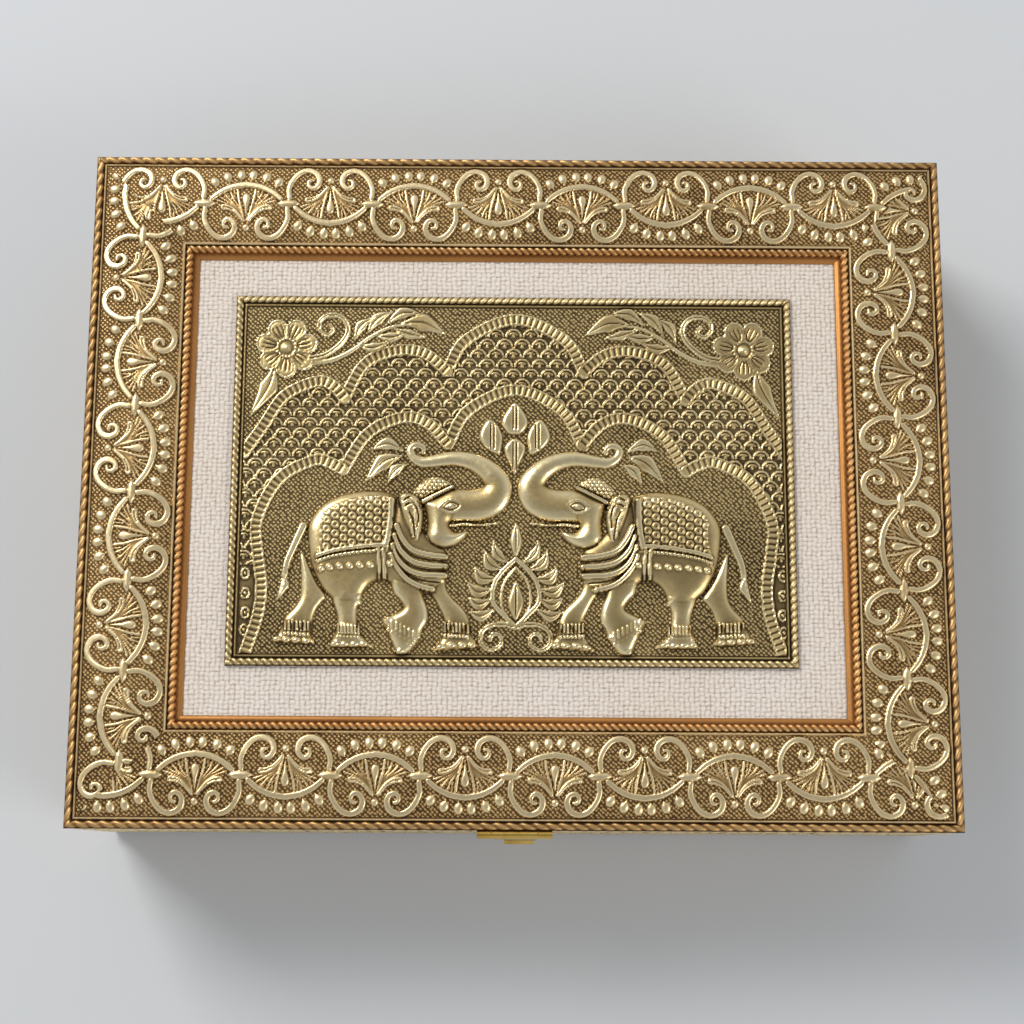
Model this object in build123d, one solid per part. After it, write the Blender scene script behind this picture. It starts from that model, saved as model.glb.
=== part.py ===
from build123d import *
import os
from math import ceil, cos, floor, hypot, radians, sin, tan

os.makedirs("parts", exist_ok=True)

# Millimetres. X runs left to right, the clasp faces -Y, +Z is up.
# The origin is the centre of the underside.

# Overall size, over the rope edge of the lid
BOX_W = 254.0
BOX_D = 200.0
BOX_H = 66.0
LID_H = 20.0

# Layers of the sides, each counted inwards from the rope edge
FACE_INSET = 0.6      # flat of the metal cladding
CLAD_T = 0.9
WALL_T = 9.0
LINING_T = 1.5
CLAD_IN = FACE_INSET + CLAD_T
WALL_IN = CLAD_IN + WALL_T
LINING_IN = WALL_IN + LINING_T

# Heights
SPLIT_Z = BOX_H - LID_H
SEAM = 0.3            # gap between the closed lid and the base
FELT_T = 1.0
FLOOR_T = 4.0
RAIL_Z = 61.5         # top of the lid board
LID_BOARD_T = 4.5
LINING_LIP = 2.5      # the lining stands proud of the base walls and locates the lid
LIP_GAP = 0.3
DIVIDER_TOP = SPLIT_Z - 2.0
DIVIDER_T = 4.0
CROSS_X = 38.3        # left and right cross dividers

# Rolled beads that border the cladding
ROLL_R = 0.9
BASE_ROLLS = (4.0, 41.4)
LID_ROLL = 50.6

# Moulded frame on the lid
RAIL_W = 32.0
ROPE_BAND = 2.3       # width of the rope twist at the edge and beside the cove
FABRIC_T = 0.9
REBATE = 4.0

# Stamped plaque
PLAQUE_W = 165.0
PLAQUE_D = 110.5
PLAQUE_AT = (-1.0, 1.5)
PLAQUE_T = 0.9
PLAQUE_ROPE_R = 1.1
MIRROR_X = 0.55       # the right half of the relief mirrors the left about this line
BAND_W = 3.5          # width of the arch bands

# Running ornament of the rails: pitch of the palmettes, and where one that points outwards stands
RAIL_UNITS = {"front": (25.4, -14.1), "back": (25.2, -19.4), "left": (26.0, 16.5), "right": (25.6, 7.2)}
FIELD_MID = 15.1
CROWN = 0.6           # the crown of the moulding lies this far below its ornament
CROWN_FLAT = 6.0      # half width of the crown
FILLET_W = 0.9        # fine ridges on both sides of the ornament
FILLET_RISE = 0.5
ARCH_R = 12.5
ARCH_T = 1.7
ARCH_CENTRE = -6.1
ARCH_ANGLES = (-52, -26, 0, 26, 52)
KNOT = ((-3.2, 0.0), (-1.8, 1.4), (1.8, 1.4), (3.2, 0.0), (1.8, -1.4), (-1.8, -1.4))
CORNER_CLEAR = 33.0

# Butt hinges, sunk in the back edge
AXIS_INSET = 2.5
HINGE_X = 70.0
HINGE_W = 24.0
KNUCKLE_R = 1.7
HINGE_PIN_R = 0.8
KNUCKLE_SPLIT = 4.0   # half width of the middle knuckle's place
KNUCKLE_GAP = 0.2
HINGE_SCREW_X = 8.0
SCREW_R = 0.7
SCREW_HEAD_R = 1.5
SCREW_HEAD_H = 0.8
SCREW_LENGTH = 7.1
RUNNING_GAP = 0.06
SWING_GAP = 0.3
LEAF_T = 0.9
LEAF_DEEP = 7.5
STOP_ANGLE = 105.0    # the chamfered back edges meet here

# Hasp on the front
HASP_Y = -101.15
HASP_Z = 63.6
HASP_KNUCKLE_R = 1.1
HASP_PIN_R = 0.5
HASP_W = 21.3
TONGUE_W = 13.0
LIP_W = 9.0
LIP_SHIFT = 1.5
SHEET_T = 0.8
HASP_LOW = 52.0
HASP_BEND = 60.4
HASP_STAND = 0.25     # outer face of the leaf behind the barrel's axis
TONGUE_TAPER_Z = 55.0
TONGUE_BEND_Z = 37.0
TONGUE_LOW = 33.0
HASP_NAIL_AT = (8.6, 56.0)

# Catch on the base
CATCH_HALF_W = 8.0
CATCH_Z = (31.5, 40.2)
CATCH_CORNER_R = 1.5
BEAD_R = 0.9
BEAD_HALF_W = 5.0
BEAD_Z = 37.6
CATCH_NAIL_AT = (6.2, 33.6)

# Round nails for both
NAIL_R = 0.45
NAIL_HEAD_R = 1.1
NAIL_HEAD_H = 0.65
NAIL_LENGTH = 5.0

# The four sides as (name, length, distance from the centre, turn about Z)
SIDES = (
    ("front", BOX_W, BOX_D / 2, 0),
    ("right", BOX_D, BOX_W / 2, 90),
    ("back", BOX_W, BOX_D / 2, 180),
    ("left", BOX_D, BOX_W / 2, -90),
)

parts = {}


def outline(points):
    return make_face(Polyline(*points, close=True))


def block(low, high):
    size = [h - l for l, h in zip(low, high)]
    middle = [(h + l) / 2 for l, h in zip(low, high)]
    return Pos(*middle) * Box(*size)


def slab(inset, z0, z1):
    """A flat layer that stops short of the rope edge by inset."""
    return block((inset - BOX_W / 2, inset - BOX_D / 2, z0), (BOX_W / 2 - inset, BOX_D / 2 - inset, z1))


def along_x(radius, x0, x1, y, z):
    """A round bar along X."""
    return Pos((x0 + x1) / 2, y, z) * Rot(0, 90, 0) * Cylinder(radius, x1 - x0)


def mitred_bar(section, length, face):
    """Run a section of (inset, height) along a front side and cut both ends to 45 degrees."""
    over = 5.0
    reach = 60.0
    on_side = Plane((0, -face, 0), x_dir=(0, 1, 0), z_dir=(1, 0, 0)) * section
    bar = extrude(on_side, amount=length / 2 + over, both=True)
    corner = length / 2
    sector = outline([
        (-corner - over, -face - over),
        (corner + over, -face - over),
        (corner - reach, -face + reach),
        (reach - corner, -face + reach),
    ])
    return bar & extrude(sector, amount=BOX_H * 2, both=True)


def four_sides(stem, section):
    """Make the same moulding for each side, as four mitred pieces."""
    for side, length, face, turn in SIDES:
        parts[f"{stem}_{side}"] = Rot(0, 0, turn) * mitred_bar(section, length, face)


def frame_rails():
    for side, length, face, turn in SIDES:
        rail = mitred_bar(rail_section(), length, face) + rail_ornament(side, length, face)
        parts[f"frame_rail_{side}"] = Rot(0, 0, turn) * rail


def rail_ornament(side, length, face):
    """Arches that point out and in by turns, with a knot between each two."""
    pitch, start = RAIL_UNITS[side]
    reach = length / 2 - CORNER_CLEAR
    first = ceil((-reach - start) / pitch)
    last = floor((reach - start) / pitch)
    arch = [arch_point(ARCH_R + ARCH_T / 2, a) for a in ARCH_ANGLES]
    arch += [arch_point(ARCH_R - ARCH_T / 2, a) for a in reversed(ARCH_ANGLES)]
    z0 = BOX_H - CROWN - 0.7
    pieces = []
    for k in range(first, last + 1):
        u = start + k * pitch
        outwards = -1 if k % 2 == 0 else 1
        points = [(u + p, FIELD_MID - face + outwards * w) for p, w in arch]
        pieces.append(raised(points, z0, BOX_H - z0))
        if k < last:
            points = [(u + pitch / 2 + p, FIELD_MID - face + w) for p, w in KNOT]
            pieces.append(raised(points, z0, BOX_H - 0.05 - z0))
    return pieces


def arch_point(radius, angle):
    return (radius * sin(radians(angle)), ARCH_CENTRE + radius * cos(radians(angle)))


def raised(points, z0, height):
    return extrude(Pos(0, 0, z0) * outline(points), amount=height)


def strip(inset_0, inset_1, z0, z1):
    return outline([(inset_0, z0), (inset_1, z0), (inset_1, z1), (inset_0, z1)])


def cladding_section(z0, z1, rolls):
    """Thin sheet with half-round rolls that stand out to the rope edge."""
    section = strip(FACE_INSET, CLAD_IN, z0, z1)
    for z in rolls:
        section += (Pos(ROLL_R, z) * Circle(ROLL_R)) & strip(0, CLAD_IN, z0, z1)
    return section


def rail_section():
    """Lid moulding from the rope edge, over the raised ornament field, down the cove."""
    under = RAIL_Z + FABRIC_T
    foot = BOX_H - 1.4
    rope_in = RAIL_W - 1.8
    field_in = rope_in - ROPE_BAND
    cove_foot = (RAIL_W, under + 0.4)
    field_out = ROPE_BAND + FILLET_W
    field_end = field_in - FILLET_W
    field_z = foot + 0.3
    crown_z = BOX_H - CROWN
    lines = [
        Line((0, RAIL_Z), (0, foot - 0.6)),
        ThreePointArc((0, foot - 0.6), (ROPE_BAND / 2, BOX_H - 0.5), (ROPE_BAND, foot)),
        Line((ROPE_BAND, foot), (ROPE_BAND + FILLET_W / 2, foot + FILLET_RISE)),
        Line((ROPE_BAND + FILLET_W / 2, foot + FILLET_RISE), (field_out, field_z)),
        Line((field_out, field_z), (FIELD_MID - CROWN_FLAT, crown_z)),
        Line((FIELD_MID - CROWN_FLAT, crown_z), (FIELD_MID + CROWN_FLAT, crown_z)),
        Line((FIELD_MID + CROWN_FLAT, crown_z), (field_end, field_z)),
        Line((field_end, field_z), (field_in - FILLET_W / 2, foot + FILLET_RISE)),
        Line((field_in - FILLET_W / 2, foot + FILLET_RISE), (field_in, foot)),
        ThreePointArc((field_in, foot), (field_in + ROPE_BAND / 2, BOX_H - 0.6), (rope_in, foot - 0.2)),
        ThreePointArc((rope_in, foot - 0.2), (rope_in + 0.6, foot - 1.1), cove_foot),
        Line(cove_foot, (RAIL_W, under)),
        Line((RAIL_W, under), (RAIL_W - REBATE, under)),
        Line((RAIL_W - REBATE, under), (RAIL_W - REBATE, RAIL_Z)),
        Line((RAIL_W - REBATE, RAIL_Z), (0, RAIL_Z)),
    ]
    return make_face(lines)


# Where the lid turns: the apex of the groove along the back edge
axis_y = BOX_D / 2 - AXIS_INSET


def back_groove():
    """V groove whose walls meet when the lid is fully open, and so stop it."""
    half = radians(STOP_ANGLE / 2)
    deep = AXIS_INSET + 1.0
    rise = deep * tan(half)
    wedge = outline([(axis_y, SPLIT_Z), (axis_y + deep, SPLIT_Z - rise), (axis_y + deep, SPLIT_Z + rise)])
    return extrude(Plane.YZ * wedge, amount=BOX_W, both=True)


def hinge_sinks():
    """Mortises for the leaves and round relief for the barrels, cut in both back edges."""
    z0 = SPLIT_Z - SEAM / 2 - LEAF_T
    z1 = SPLIT_Z + SEAM / 2 + LEAF_T
    sinks = []
    for x in (-HINGE_X, HINGE_X):
        x0 = x - HINGE_W / 2 - SWING_GAP
        x1 = x + HINGE_W / 2 + SWING_GAP
        sinks.append(block((x0, axis_y - LEAF_DEEP, z0), (x1, axis_y, z1)))
        sinks.append(along_x(KNUCKLE_R + SWING_GAP, x0, x1, axis_y, SPLIT_Z))
    return sinks


def base_carcass():
    parts["underside_felt"] = slab(WALL_T / 2, 0, FELT_T)
    parts["base_floor"] = slab(CLAD_IN, FELT_T, FELT_T + FLOOR_T)
    top = SPLIT_Z - SEAM / 2
    four_sides("base_wall", strip(CLAD_IN, WALL_IN, FELT_T + FLOOR_T, top))
    four_sides("base_cladding", cladding_section(FELT_T, top, BASE_ROLLS))


def base_lining():
    floor_top = FELT_T + FLOOR_T + LINING_T
    parts["lining_floor"] = slab(WALL_IN, FELT_T + FLOOR_T, floor_top)
    four_sides("lining", strip(WALL_IN, LINING_IN, floor_top, SPLIT_Z + LINING_LIP))


def dividers():
    """Three velvet-covered boards, halved together where they cross."""
    floor_top = FELT_T + FLOOR_T + LINING_T
    lap = (floor_top + DIVIDER_TOP) / 2
    half_x = BOX_W / 2 - LINING_IN
    half_y = BOX_D / 2 - LINING_IN
    half_t = DIVIDER_T / 2
    long_board = block((-half_x, -half_t, floor_top), (half_x, half_t, DIVIDER_TOP))
    for name, x in (("left", -CROSS_X), ("right", CROSS_X)):
        crossing = block((x - half_t, -half_t, lap), (x + half_t, half_t, DIVIDER_TOP))
        long_board -= crossing
        board = block((x - half_t, -half_y, floor_top), (x + half_t, half_y, DIVIDER_TOP))
        lower = block((x - half_t, -half_t, floor_top), (x + half_t, half_t, lap))
        parts[f"divider_cross_{name}"] = board - lower
    parts["divider_long"] = long_board


def lid_carcass():
    z0 = SPLIT_Z + SEAM / 2
    board_z = RAIL_Z - LID_BOARD_T
    four_sides("lid_rim", strip(CLAD_IN, WALL_IN - LIP_GAP, z0, board_z))
    parts["lid_board"] = slab(CLAD_IN, board_z, RAIL_Z)
    four_sides("lid_cladding", cladding_section(z0, RAIL_Z, (LID_ROLL,)))
    parts["lid_lining"] = slab(WALL_IN - LIP_GAP, board_z - LINING_T, board_z)


def lid_top():
    frame_rails()
    parts["fabric_panel"] = slab(RAIL_W - REBATE, RAIL_Z, RAIL_Z + FABRIC_T)
    parts["embossed_plaque"] = plaque()


def plaque():
    """Stamped sheet with a rope border, centred a little off the panel."""
    z0 = RAIL_Z + FABRIC_T
    sheet = Pos(0, 0, z0 + PLAQUE_T / 2) * Box(PLAQUE_W, PLAQUE_D, PLAQUE_T)
    middle_x = PLAQUE_W / 2 - PLAQUE_ROPE_R
    middle_y = PLAQUE_D / 2 - PLAQUE_ROPE_R
    rope_z = z0 + PLAQUE_T
    path = Polyline(
        (-middle_x, -middle_y, rope_z),
        (middle_x, -middle_y, rope_z),
        (middle_x, middle_y, rope_z),
        (-middle_x, middle_y, rope_z),
        close=True,
    )
    section = Plane((0, -middle_y, rope_z), x_dir=(0, 1, 0), z_dir=(1, 0, 0)) * Circle(PLAQUE_ROPE_R)
    rope = sweep(section, path=path, transition=Transition.RIGHT)
    above = Pos(0, 0, z0 + PLAQUE_ROPE_R * 2) * Box(PLAQUE_W, PLAQUE_D, PLAQUE_ROPE_R * 4)
    relief = elephants(rope_z) + arches(rope_z) + plants(rope_z)
    return Pos(PLAQUE_AT[0], PLAQUE_AT[1], 0) * ((sheet + (rope & above)) + relief)


# Relief of the plaque: places in millimetres from its centre, for the left half where it mirrors.
# Each form of the elephant is (outline, height over the sheet).
ELEPHANT = (
    # far hind leg
    (((-60.9, -22.5), (-56.2, -31.2), (-53.8, -35.2), (-56.5, -39.2), (-57.6, -45.0), (-57.6, -49.0),
      (-68.8, -48.6), (-65.5, -41.2), (-61.4, -35.2), (-61.6, -26.0)), 1.1),
    # far foreleg
    (((-26.4, -30.0), (-19.7, -28.2), (-19.0, -32.6), (-13.9, -38.7), (-11.6, -46.0), (-10.2, -49.9),
      (-22.1, -50.4), (-19.7, -45.0), (-19.9, -41.0), (-22.9, -35.4)), 1.15),
    # near hind leg
    (((-51.9, -33.0), (-43.4, -33.0), (-44.6, -39.0), (-44.4, -43.5), (-41.0, -49.6), (-52.0, -49.9),
      (-50.7, -44.2), (-50.7, -39.0)), 1.5),
    # bent foreleg
    (((-35.4, -27.0), (-27.5, -29.0), (-25.2, -35.5), (-24.2, -42.2), (-26.3, -47.3), (-31.5, -52.3),
      (-35.6, -46.3), (-37.2, -42.0), (-31.8, -38.2), (-34.9, -33.9)), 1.55),
    # trunk of the body and neck
    (((-59.6, -16.9), (-57.7, -10.9), (-50.8, -5.6), (-40.6, -3.9), (-33.4, -6.3), (-28.0, -13.0),
      (-19.2, -22.0), (-19.3, -31.0), (-24.5, -34.0), (-30.0, -31.6), (-37.1, -30.2), (-41.8, -32.2),
      (-43.9, -37.0), (-51.0, -37.6), (-57.1, -28.9)), 1.8),
    # saddle cloth
    (((-55.4, -11.8), (-46.8, -6.7), (-35.8, -6.2), (-36.0, -20.4), (-46.4, -21.1), (-57.0, -24.1),
      (-55.6, -17.5)), 2.15),
    # head and lower jaw
    (((-26.0, -7.3), (-17.9, -3.4), (-11.4, -5.4), (-12.6, -12.4), (-17.9, -14.2), (-13.1, -15.8),
      (-15.0, -19.2), (-20.4, -21.2), (-25.2, -18.2)), 2.2),
    # studded cap
    (((-29.8, -4.8), (-26.4, -1.0), (-23.1, 0.5), (-18.9, -1.4), (-18.2, -3.4), (-27.0, -7.4)), 1.6),
    # ear
    (((-33.4, -6.3), (-31.6, -4.6), (-27.6, -5.6), (-25.9, -12.0), (-27.3, -19.5), (-28.9, -19.0),
      (-32.5, -10.9)), 2.45),
    # tail
    (((-60.6, -14.0), (-59.4, -17.0), (-64.6, -30.4), (-67.6, -36.2), (-66.8, -28.6)), 0.9),
)
ELEPHANT_TRUNK = (
    (-17.0, -8.4), (-11.4, -8.6), (-6.6, -7.0), (-4.1, -3.0), (-6.0, 1.4), (-10.9, 4.5),
    (-16.9, 6.1), (-22.6, 5.7), (-26.6, 5.1), (-29.6, 6.6), (-30.4, 9.0), (-28.8, 10.9),
)
ELEPHANT_TRUNK_W = (8.4, 8.0, 7.6, 6.6, 5.4, 4.6, 4.0, 3.4, 3.0, 2.7, 2.4, 1.8)
ELEPHANT_TRUNK_RISE = 2.0

# Centre lines of the two scalloped bands: the middle arch, then the arches of the left half
MIDDLE_ARCHES = (
    ((-19.6, 32.3), (-16.2, 39.0), (-10.0, 44.8), (0.55, 48.4), (11.1, 44.8), (17.3, 39.0), (20.7, 32.3)),
    ((-19.1, 10.1), (-15.6, 17.2), (-9.4, 23.2), (0.55, 26.7), (10.5, 23.2), (16.7, 17.2), (20.2, 10.1)),
)
SIDE_ARCHES = (
    ((-19.6, 32.3), (-26.1, 37.6), (-34.1, 38.7), (-43.8, 34.6), (-49.8, 23.9)),
    ((-49.8, 23.9), (-53.2, 27.6), (-58.0, 29.0), (-67.4, 24.6), (-73.4, 15.5), (-78.6, 7.2)),
    ((-19.1, 10.1), (-25.0, 16.4), (-32.5, 18.2), (-42.7, 13.2), (-49.7, 2.3)),
    ((-49.7, 2.3), (-53.8, 4.5), (-58.6, 5.0), (-68.4, -0.6), (-74.4, -12.5), (-74.0, -22.0), (-72.6, -32.0),
     (-73.4, -41.0), (-76.4, -50.7)),
)
BAND_RISE = 0.55

# Flowers, scrolls and leaves of the left half, as (centre line, width at each end, height)
FLOWER_AT = (-67.2, 39.1)
FLOWER_R = 8.8
FLOWER_RISE = 0.8
PETALS = 7
STROKES = (
    (((-60.6, 33.3), (-54.5, 34.2), (-48.8, 38.0), (-46.6, 43.5), (-48.6, 48.2), (-53.0, 49.4), (-56.4, 46.6)),
     (2.0, 1.6), 0.8),
    (((-54.0, 31.6), (-46.6, 35.8), (-41.0, 40.2), (-34.0, 43.2), (-28.0, 44.2)), (1.8, 1.2), 0.7),
    (((-29.0, 44.6), (-23.5, 43.2), (-18.6, 43.6)), (2.8, 0.6), 0.8),
    (((-71.6, 34.6), (-74.2, 28.0), (-76.6, 19.0)), (3.4, 0.8), 0.8),
    (((-42.9, -1.1), (-38.3, 4.3), (-32.4, 6.6)), (0.8, 3.0), 0.85),
    (((0.3, -14.5), (-2.1, -18.8), (-5.9, -24.0), (-7.5, -30.4), (-5.7, -36.6), (-1.9, -41.4), (0.3, -44.6)),
     (1.2, 1.4), 0.8),
    (((-1.0, -43.6), (-4.6, -41.9), (-8.6, -43.6), (-9.2, -47.6), (-6.2, -50.0)), (1.6, 1.4), 0.8),
    (((-6.9, -25.4), (-9.9, -21.8), (-10.9, -17.6)), (2.0, 0.6), 0.7),
    (((-8.2, -31.0), (-12.3, -28.6), (-14.7, -25.0)), (2.0, 0.6), 0.7),
    (((-7.2, -36.4), (-11.4, -35.4), (-14.9, -32.6)), (2.0, 0.6), 0.7),
)
# Petals on the middle line, above and between the elephants
PETAL_OUTLINES = (
    (((0.6, 22.6), (3.5, 16.4), (2.2, 11.2), (-1.1, 11.2), (-2.4, 16.4)), 1.2),
    (((0.6, 10.2), (3.2, 6.6), (0.6, -0.6), (-2.0, 6.6)), 1.1),
    (((-7.2, 18.4), (-3.4, 11.0), (-4.2, 7.0), (-8.8, 10.4), (-9.4, 14.4)), 1.1),
    (((8.3, 18.4), (10.5, 14.4), (9.9, 10.4), (5.3, 7.0), (4.5, 11.0)), 1.1),
    (((0.9, -4.8), (2.7, -12.0), (0.9, -16.6), (-0.9, -12.0)), 0.85),
    (((0.9, -24.6), (3.4, -32.6), (0.9, -40.2), (-1.6, -32.6)), 0.8),
)


def mirrored(points):
    return [(2 * MIRROR_X - x, y) for x, y in points]


def low_form(points, sheet_z, height):
    """A layer that stands this high over the sheet, rooted half way into it."""
    return raised(points, sheet_z - PLAQUE_T / 2, height + PLAQUE_T / 2)


def both_halves(points, sheet_z, height):
    return [low_form(points, sheet_z, height), low_form(mirrored(points), sheet_z, height)]


def ribbon(points, widths):
    """Outline of a stroke along points, as wide at each point as widths says."""
    left = []
    right = []
    for i, (x, y) in enumerate(points):
        x0, y0 = points[max(i - 1, 0)]
        x1, y1 = points[min(i + 1, len(points) - 1)]
        scale_by = widths[i] / 2 / hypot(x1 - x0, y1 - y0)
        dx = (x1 - x0) * scale_by
        dy = (y1 - y0) * scale_by
        left.append((x - dy, y + dx))
        right.append((x + dy, y - dx))
    return left + right[::-1]


def elephants(sheet_z):
    """Two elephants face to face, each form as a low layer of its own height."""
    pieces = []
    for points, height in ELEPHANT:
        pieces += both_halves(points, sheet_z, height)
    return pieces + both_halves(ribbon(ELEPHANT_TRUNK, ELEPHANT_TRUNK_W), sheet_z, ELEPHANT_TRUNK_RISE)


def arches(sheet_z):
    pieces = []
    for line in MIDDLE_ARCHES:
        pieces.append(low_form(ribbon(line, [BAND_W] * len(line)), sheet_z, BAND_RISE))
    for line in SIDE_ARCHES:
        pieces += both_halves(ribbon(line, [BAND_W] * len(line)), sheet_z, BAND_RISE)
    return pieces


def plants(sheet_z):
    pieces = []
    for line, (first, last), height in STROKES:
        steps = len(line) - 1
        widths = [first + (last - first) * i / steps for i in range(steps + 1)]
        pieces += both_halves(ribbon(line, widths), sheet_z, height)
    for points, height in PETAL_OUTLINES:
        pieces.append(low_form(points, sheet_z, height))
    return pieces + both_halves(flower_outline(), sheet_z, FLOWER_RISE)


def flower_outline():
    """Star of petals, tip and hollow by turns."""
    x, y = FLOWER_AT
    star = []
    for i in range(2 * PETALS):
        radius = FLOWER_R if i % 2 == 0 else FLOWER_R / 3
        angle = radians(180 * i / PETALS)
        star.append((x + radius * cos(angle), y + radius * sin(angle)))
    return star


def butt_leaf(x, low_z, own_spans, other_spans):
    """One hinge leaf: a sunk plate with its knuckles, cut back beside the other leaf's knuckles."""
    half = HINGE_W / 2
    leaf = block((x - half, axis_y - LEAF_DEEP, low_z), (x + half, axis_y, low_z + LEAF_T))
    for x0, x1 in other_spans:
        relief = along_x(KNUCKLE_R + SWING_GAP, x + x0 - SEAM / 2, x + x1 + SEAM / 2, axis_y, SPLIT_Z)
        leaf -= relief
    for x0, x1 in own_spans:
        leaf += along_x(KNUCKLE_R, x + x0, x + x1, axis_y, SPLIT_Z)
    return leaf


def hinges():
    end = HINGE_W / 2
    inner = KNUCKLE_SPLIT - KNUCKLE_GAP
    outer = ((-end, -KNUCKLE_SPLIT), (KNUCKLE_SPLIT, end))
    middle = ((-inner, inner),)
    for name, x in (("left", -HINGE_X), ("right", HINGE_X)):
        base_leaf = butt_leaf(x, SPLIT_Z - SEAM / 2 - LEAF_T, outer, middle)
        lid_leaf = butt_leaf(x, SPLIT_Z + SEAM / 2, middle, outer)
        x0 = x - HINGE_W / 2
        x1 = x + HINGE_W / 2
        parts[f"hinge_{name}_base_leaf"] = base_leaf - along_x(HINGE_PIN_R, x0, x1, axis_y, SPLIT_Z)
        parts[f"hinge_{name}_lid_leaf"] = lid_leaf - along_x(
            HINGE_PIN_R + RUNNING_GAP, x0, x1, axis_y, SPLIT_Z)
        parts[f"hinge_{name}_pin"] = along_x(HINGE_PIN_R, x0, x1, axis_y, SPLIT_Z)


def countersunk_screw():
    """Small screw, head flush at z = 0, point down."""
    head = Pos(0, 0, -SCREW_HEAD_H / 2) * Cone(SCREW_R, SCREW_HEAD_R, SCREW_HEAD_H)
    shank_l = SCREW_LENGTH - SCREW_HEAD_H
    return head + Pos(0, 0, -SCREW_HEAD_H - shank_l / 2) * Cone(0, SCREW_R, shank_l)


def hinge_screws():
    """Two screws through each leaf, as one group for the base and one for the lid."""
    y = axis_y - LEAF_DEEP * 0.62
    places = [x + dx for x in (-HINGE_X, HINGE_X) for dx in (-HINGE_SCREW_X, HINGE_SCREW_X)]
    screw = countersunk_screw()
    base_top = SPLIT_Z - SEAM / 2
    lid_low = SPLIT_Z + SEAM / 2
    parts["hinge_base_screws"] = Compound(children=[Pos(x, y, base_top) * screw for x in places])
    parts["hinge_lid_screws"] = Compound(children=[Pos(x, y, lid_low) * Rot(180, 0, 0) * screw for x in places])


def round_nail():
    """Domed nail for thin sheet: its head rests on y = 0 and stands out to -Y."""
    head = Rot(90, 0, 0) * Pos(0, 0, NAIL_HEAD_H / 2) * Cone(NAIL_HEAD_R, NAIL_HEAD_R / 2, NAIL_HEAD_H)
    shank = Rot(90, 0, 0) * Pos(0, 0, -NAIL_LENGTH / 2) * Cone(0, NAIL_R, NAIL_LENGTH)
    return head + shank


def nail_pair(at):
    """Two nails through a plate on the front, left and right of the middle."""
    face_y = FACE_INSET - BOX_D / 2 - SHEET_T
    x, z = at
    return Compound(children=[Pos(side * x, face_y, z) * round_nail() for side in (-1, 1)])


def hasp():
    """Fixed leaf on the lid with two knuckles, its pin, and the tongue that hangs from it."""
    face_y = FACE_INSET - BOX_D / 2
    half = HASP_W / 2
    stand = HASP_Y + HASP_STAND
    leaf_outline = outline([
        (face_y, HASP_LOW),
        (face_y - SHEET_T, HASP_LOW),
        (face_y - SHEET_T, HASP_BEND),
        (stand, HASP_BEND + SHEET_T),
        (stand, HASP_Z),
        (stand + SHEET_T, HASP_Z),
        (stand + SHEET_T, HASP_BEND + SHEET_T),
        (face_y, HASP_BEND + SHEET_T / 4),
    ])
    leaf = extrude(Plane.YZ * leaf_outline, amount=half, both=True)
    free = TONGUE_W / 2 + KNUCKLE_GAP
    leaf -= along_x(HASP_KNUCKLE_R + SWING_GAP, -free, free, HASP_Y, HASP_Z)
    for x0, x1 in ((-half, -free), (free, half)):
        leaf += along_x(HASP_KNUCKLE_R, x0, x1, HASP_Y, HASP_Z)
    parts["hasp_leaf"] = leaf - along_x(HASP_PIN_R, -half, half, HASP_Y, HASP_Z)
    parts["hasp_pin"] = along_x(HASP_PIN_R, -half, half, HASP_Y, HASP_Z)
    parts["hasp_tongue"] = tongue()
    parts["hasp_nails"] = nail_pair(HASP_NAIL_AT)


def tongue():
    """Tapering strip that hangs over the seam and ends in a thumb lip curled outwards."""
    outer_y = HASP_Y - HASP_KNUCKLE_R
    inner_y = outer_y + SHEET_T
    curl_y = inner_y - 1.3
    curl_z = TONGUE_LOW + 0.6
    side = make_face([
        Line((inner_y, HASP_Z), (inner_y, TONGUE_BEND_Z)),
        ThreePointArc((inner_y, TONGUE_BEND_Z), (inner_y - 0.3, TONGUE_BEND_Z - 1.8), (curl_y, curl_z)),
        Line((curl_y, curl_z), (outer_y - 1.2, curl_z + 0.5)),
        ThreePointArc((outer_y - 1.2, curl_z + 0.5), (outer_y - 0.3, curl_z + 1.8), (outer_y, TONGUE_BEND_Z)),
        Line((outer_y, TONGUE_BEND_Z), (outer_y, HASP_Z)),
        Line((outer_y, HASP_Z), (inner_y, HASP_Z)),
    ])
    half = TONGUE_W / 2
    strip_solid = extrude(Plane.YZ * side, amount=half, both=True)
    lip_left = LIP_SHIFT - LIP_W / 2
    lip_right = LIP_SHIFT + LIP_W / 2
    lip_z = TONGUE_BEND_Z + 3.0
    waist_z = (TONGUE_TAPER_Z + lip_z) / 2
    front = make_face([
        Line((-half, HASP_Z), (half, HASP_Z)),
        Line((half, HASP_Z), (half, TONGUE_TAPER_Z)),
        Spline((half, TONGUE_TAPER_Z), (half * 0.97, waist_z), (lip_right, lip_z)),
        Line((lip_right, lip_z), (lip_right, TONGUE_LOW)),
        Line((lip_right, TONGUE_LOW), (lip_left, TONGUE_LOW)),
        Line((lip_left, TONGUE_LOW), (lip_left, lip_z)),
        Spline((lip_left, lip_z), (-half * 0.85, waist_z), (-half, TONGUE_TAPER_Z)),
        Line((-half, TONGUE_TAPER_Z), (-half, HASP_Z)),
    ])
    shaped = strip_solid & extrude(Plane.XZ * front, amount=BOX_D, both=True)
    shaped += along_x(HASP_KNUCKLE_R, -half, half, HASP_Y, HASP_Z)
    return shaped - along_x(HASP_PIN_R + RUNNING_GAP, -half, half, HASP_Y, HASP_Z)


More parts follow.
